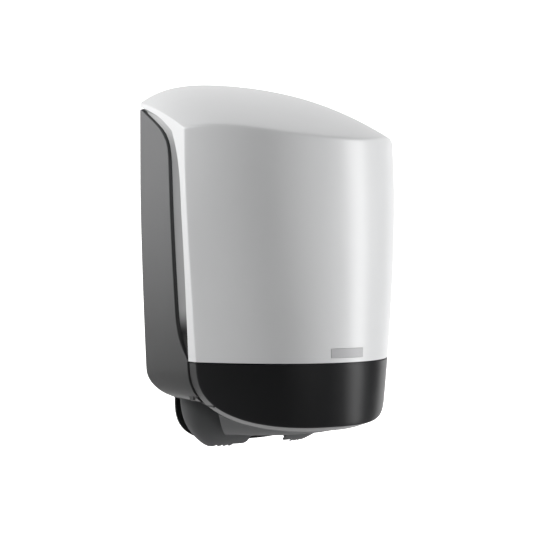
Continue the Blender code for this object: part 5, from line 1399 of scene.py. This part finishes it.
SWEEP_FRONT = -2.6
SWEEP_BACK = 1.70
SWEEP_LOW = -0.95
SWEEP_HIGH = 3.2
SWEEP_HALF_WIDTH = 4.0
SWEEP_RADIUS = 0.60
sweep_finish = Finish("studio_white", (0.78, 0.78, 0.78), 0.9)
rise = sweep_finish.ramp("Y", 0.3, 1.1)
left_low = sweep_finish.ramp("X", -0.25, -0.6) * (0.9 - sweep_finish.ramp("Z", -0.35, 0.75) * 0.9)
sweep_finish.feed("Emission Strength", 1.0)
sweep_finish.feed("Emission Color", rise * (1.0 - left_low))
sweep_finish.feed("Roughness", sweep_finish.noise(3.0) * 0.06 + 0.86)
profile = [(SWEEP_FRONT, SWEEP_LOW)]
profile += [(SWEEP_BACK - SWEEP_RADIUS * (1.0 - sin(a)), SWEEP_LOW + SWEEP_RADIUS * (1.0 - cos(a)))
            for a in quarter(24)]
profile.append((SWEEP_BACK, SWEEP_HIGH))
mesh = bpy.data.meshes.new("studio_sweep")
mesh.from_pydata([(side * SWEEP_HALF_WIDTH, y, z) for y, z in profile for side in (-1.0, 1.0)], [],
                 [(2 * i, 2 * i + 1, 2 * i + 3, 2 * i + 2) for i in range(len(profile) - 1)])
mesh.shade_smooth()
mesh.materials.append(sweep_finish.material)
sweep = bpy.data.objects.new("studio_sweep", mesh)
bpy.context.scene.collection.objects.link(sweep)


def around(turn, reach, height):
    """Place at an azimuth seen from the front, in degrees."""
    return (reach * sin(radians(turn)), -reach * cos(radians(turn)), height)


def softbox(name, place, target, size, power):
    light = bpy.data.lights.new(name, "AREA")
    light.shape = "RECTANGLE"
    light.size, light.size_y = size
    light.energy = power
    obj = bpy.data.objects.new(name, light)
    bpy.context.scene.collection.objects.link(obj)
    aim = Vector(target) - Vector(place)
    obj.matrix_world = Matrix.Translation(Vector(place)) @ aim.to_track_quat("-Z", "Y").to_matrix().to_4x4()


softbox("left_softbox", around(-105.0, 1.4, 0.85), (0.0, -0.1, 0.1), (0.8, 0.8), 16.7)
softbox("right_softbox", around(52.0, 1.5, 0.15), (0.0, -0.1, 0.0), (0.6, 1.5), 19.5)
softbox("rim_softbox", around(-132.0, 1.5, 0.35), (0.0, -0.1, 0.05), (0.6, 1.2), 7.0)
softbox("top_softbox", (0.0, -0.45, 1.5), (0.0, -0.1, 0.0), (1.2, 0.8), 2.7)
softbox("front_softbox", around(-10.0, 2.2, 0.5), (0.0, -0.1, 0.0), (1.6, 1.6), 12.7)
world = bpy.data.worlds.new("studio")
world.use_nodes = True
world.node_tree.nodes["Background"].inputs["Color"].default_value = (1.0, 1.0, 1.0, 1.0)
world.node_tree.nodes["Background"].inputs["Strength"].default_value = 0.02
bpy.context.scene.world = world
bpy.context.scene.view_settings.view_transform = "Standard"


# Camera
# Left of the object and a little below its middle, looking slightly up, as in the photograph.

TURN = radians(26.287)
PITCH = radians(2.334)
ROLL = radians(-0.479)
PLACE = (-0.451263, -0.976396, -0.04905)
SENSOR = 36.0
FOCAL_SHARE = 949.877 / 533.0  # focal length in picture widths
forward = Vector((sin(TURN) * cos(PITCH), cos(TURN) * cos(PITCH), sin(PITCH)))
level = Vector((cos(TURN), -sin(TURN), 0.0))
upward = level.cross(forward)
right = level * cos(ROLL) + upward * sin(ROLL)
up = upward * cos(ROLL) - level * sin(ROLL)
lens = bpy.data.cameras.new("photo_camera")
lens.sensor_width = SENSOR
lens.lens = FOCAL_SHARE * SENSOR
camera = bpy.data.objects.new("photo_camera", lens)
bpy.context.scene.collection.objects.link(camera)
camera.matrix_world = Matrix((*zip(right, up, -forward, PLACE), (0.0, 0.0, 0.0, 1.0)))
bpy.context.scene.camera = camera
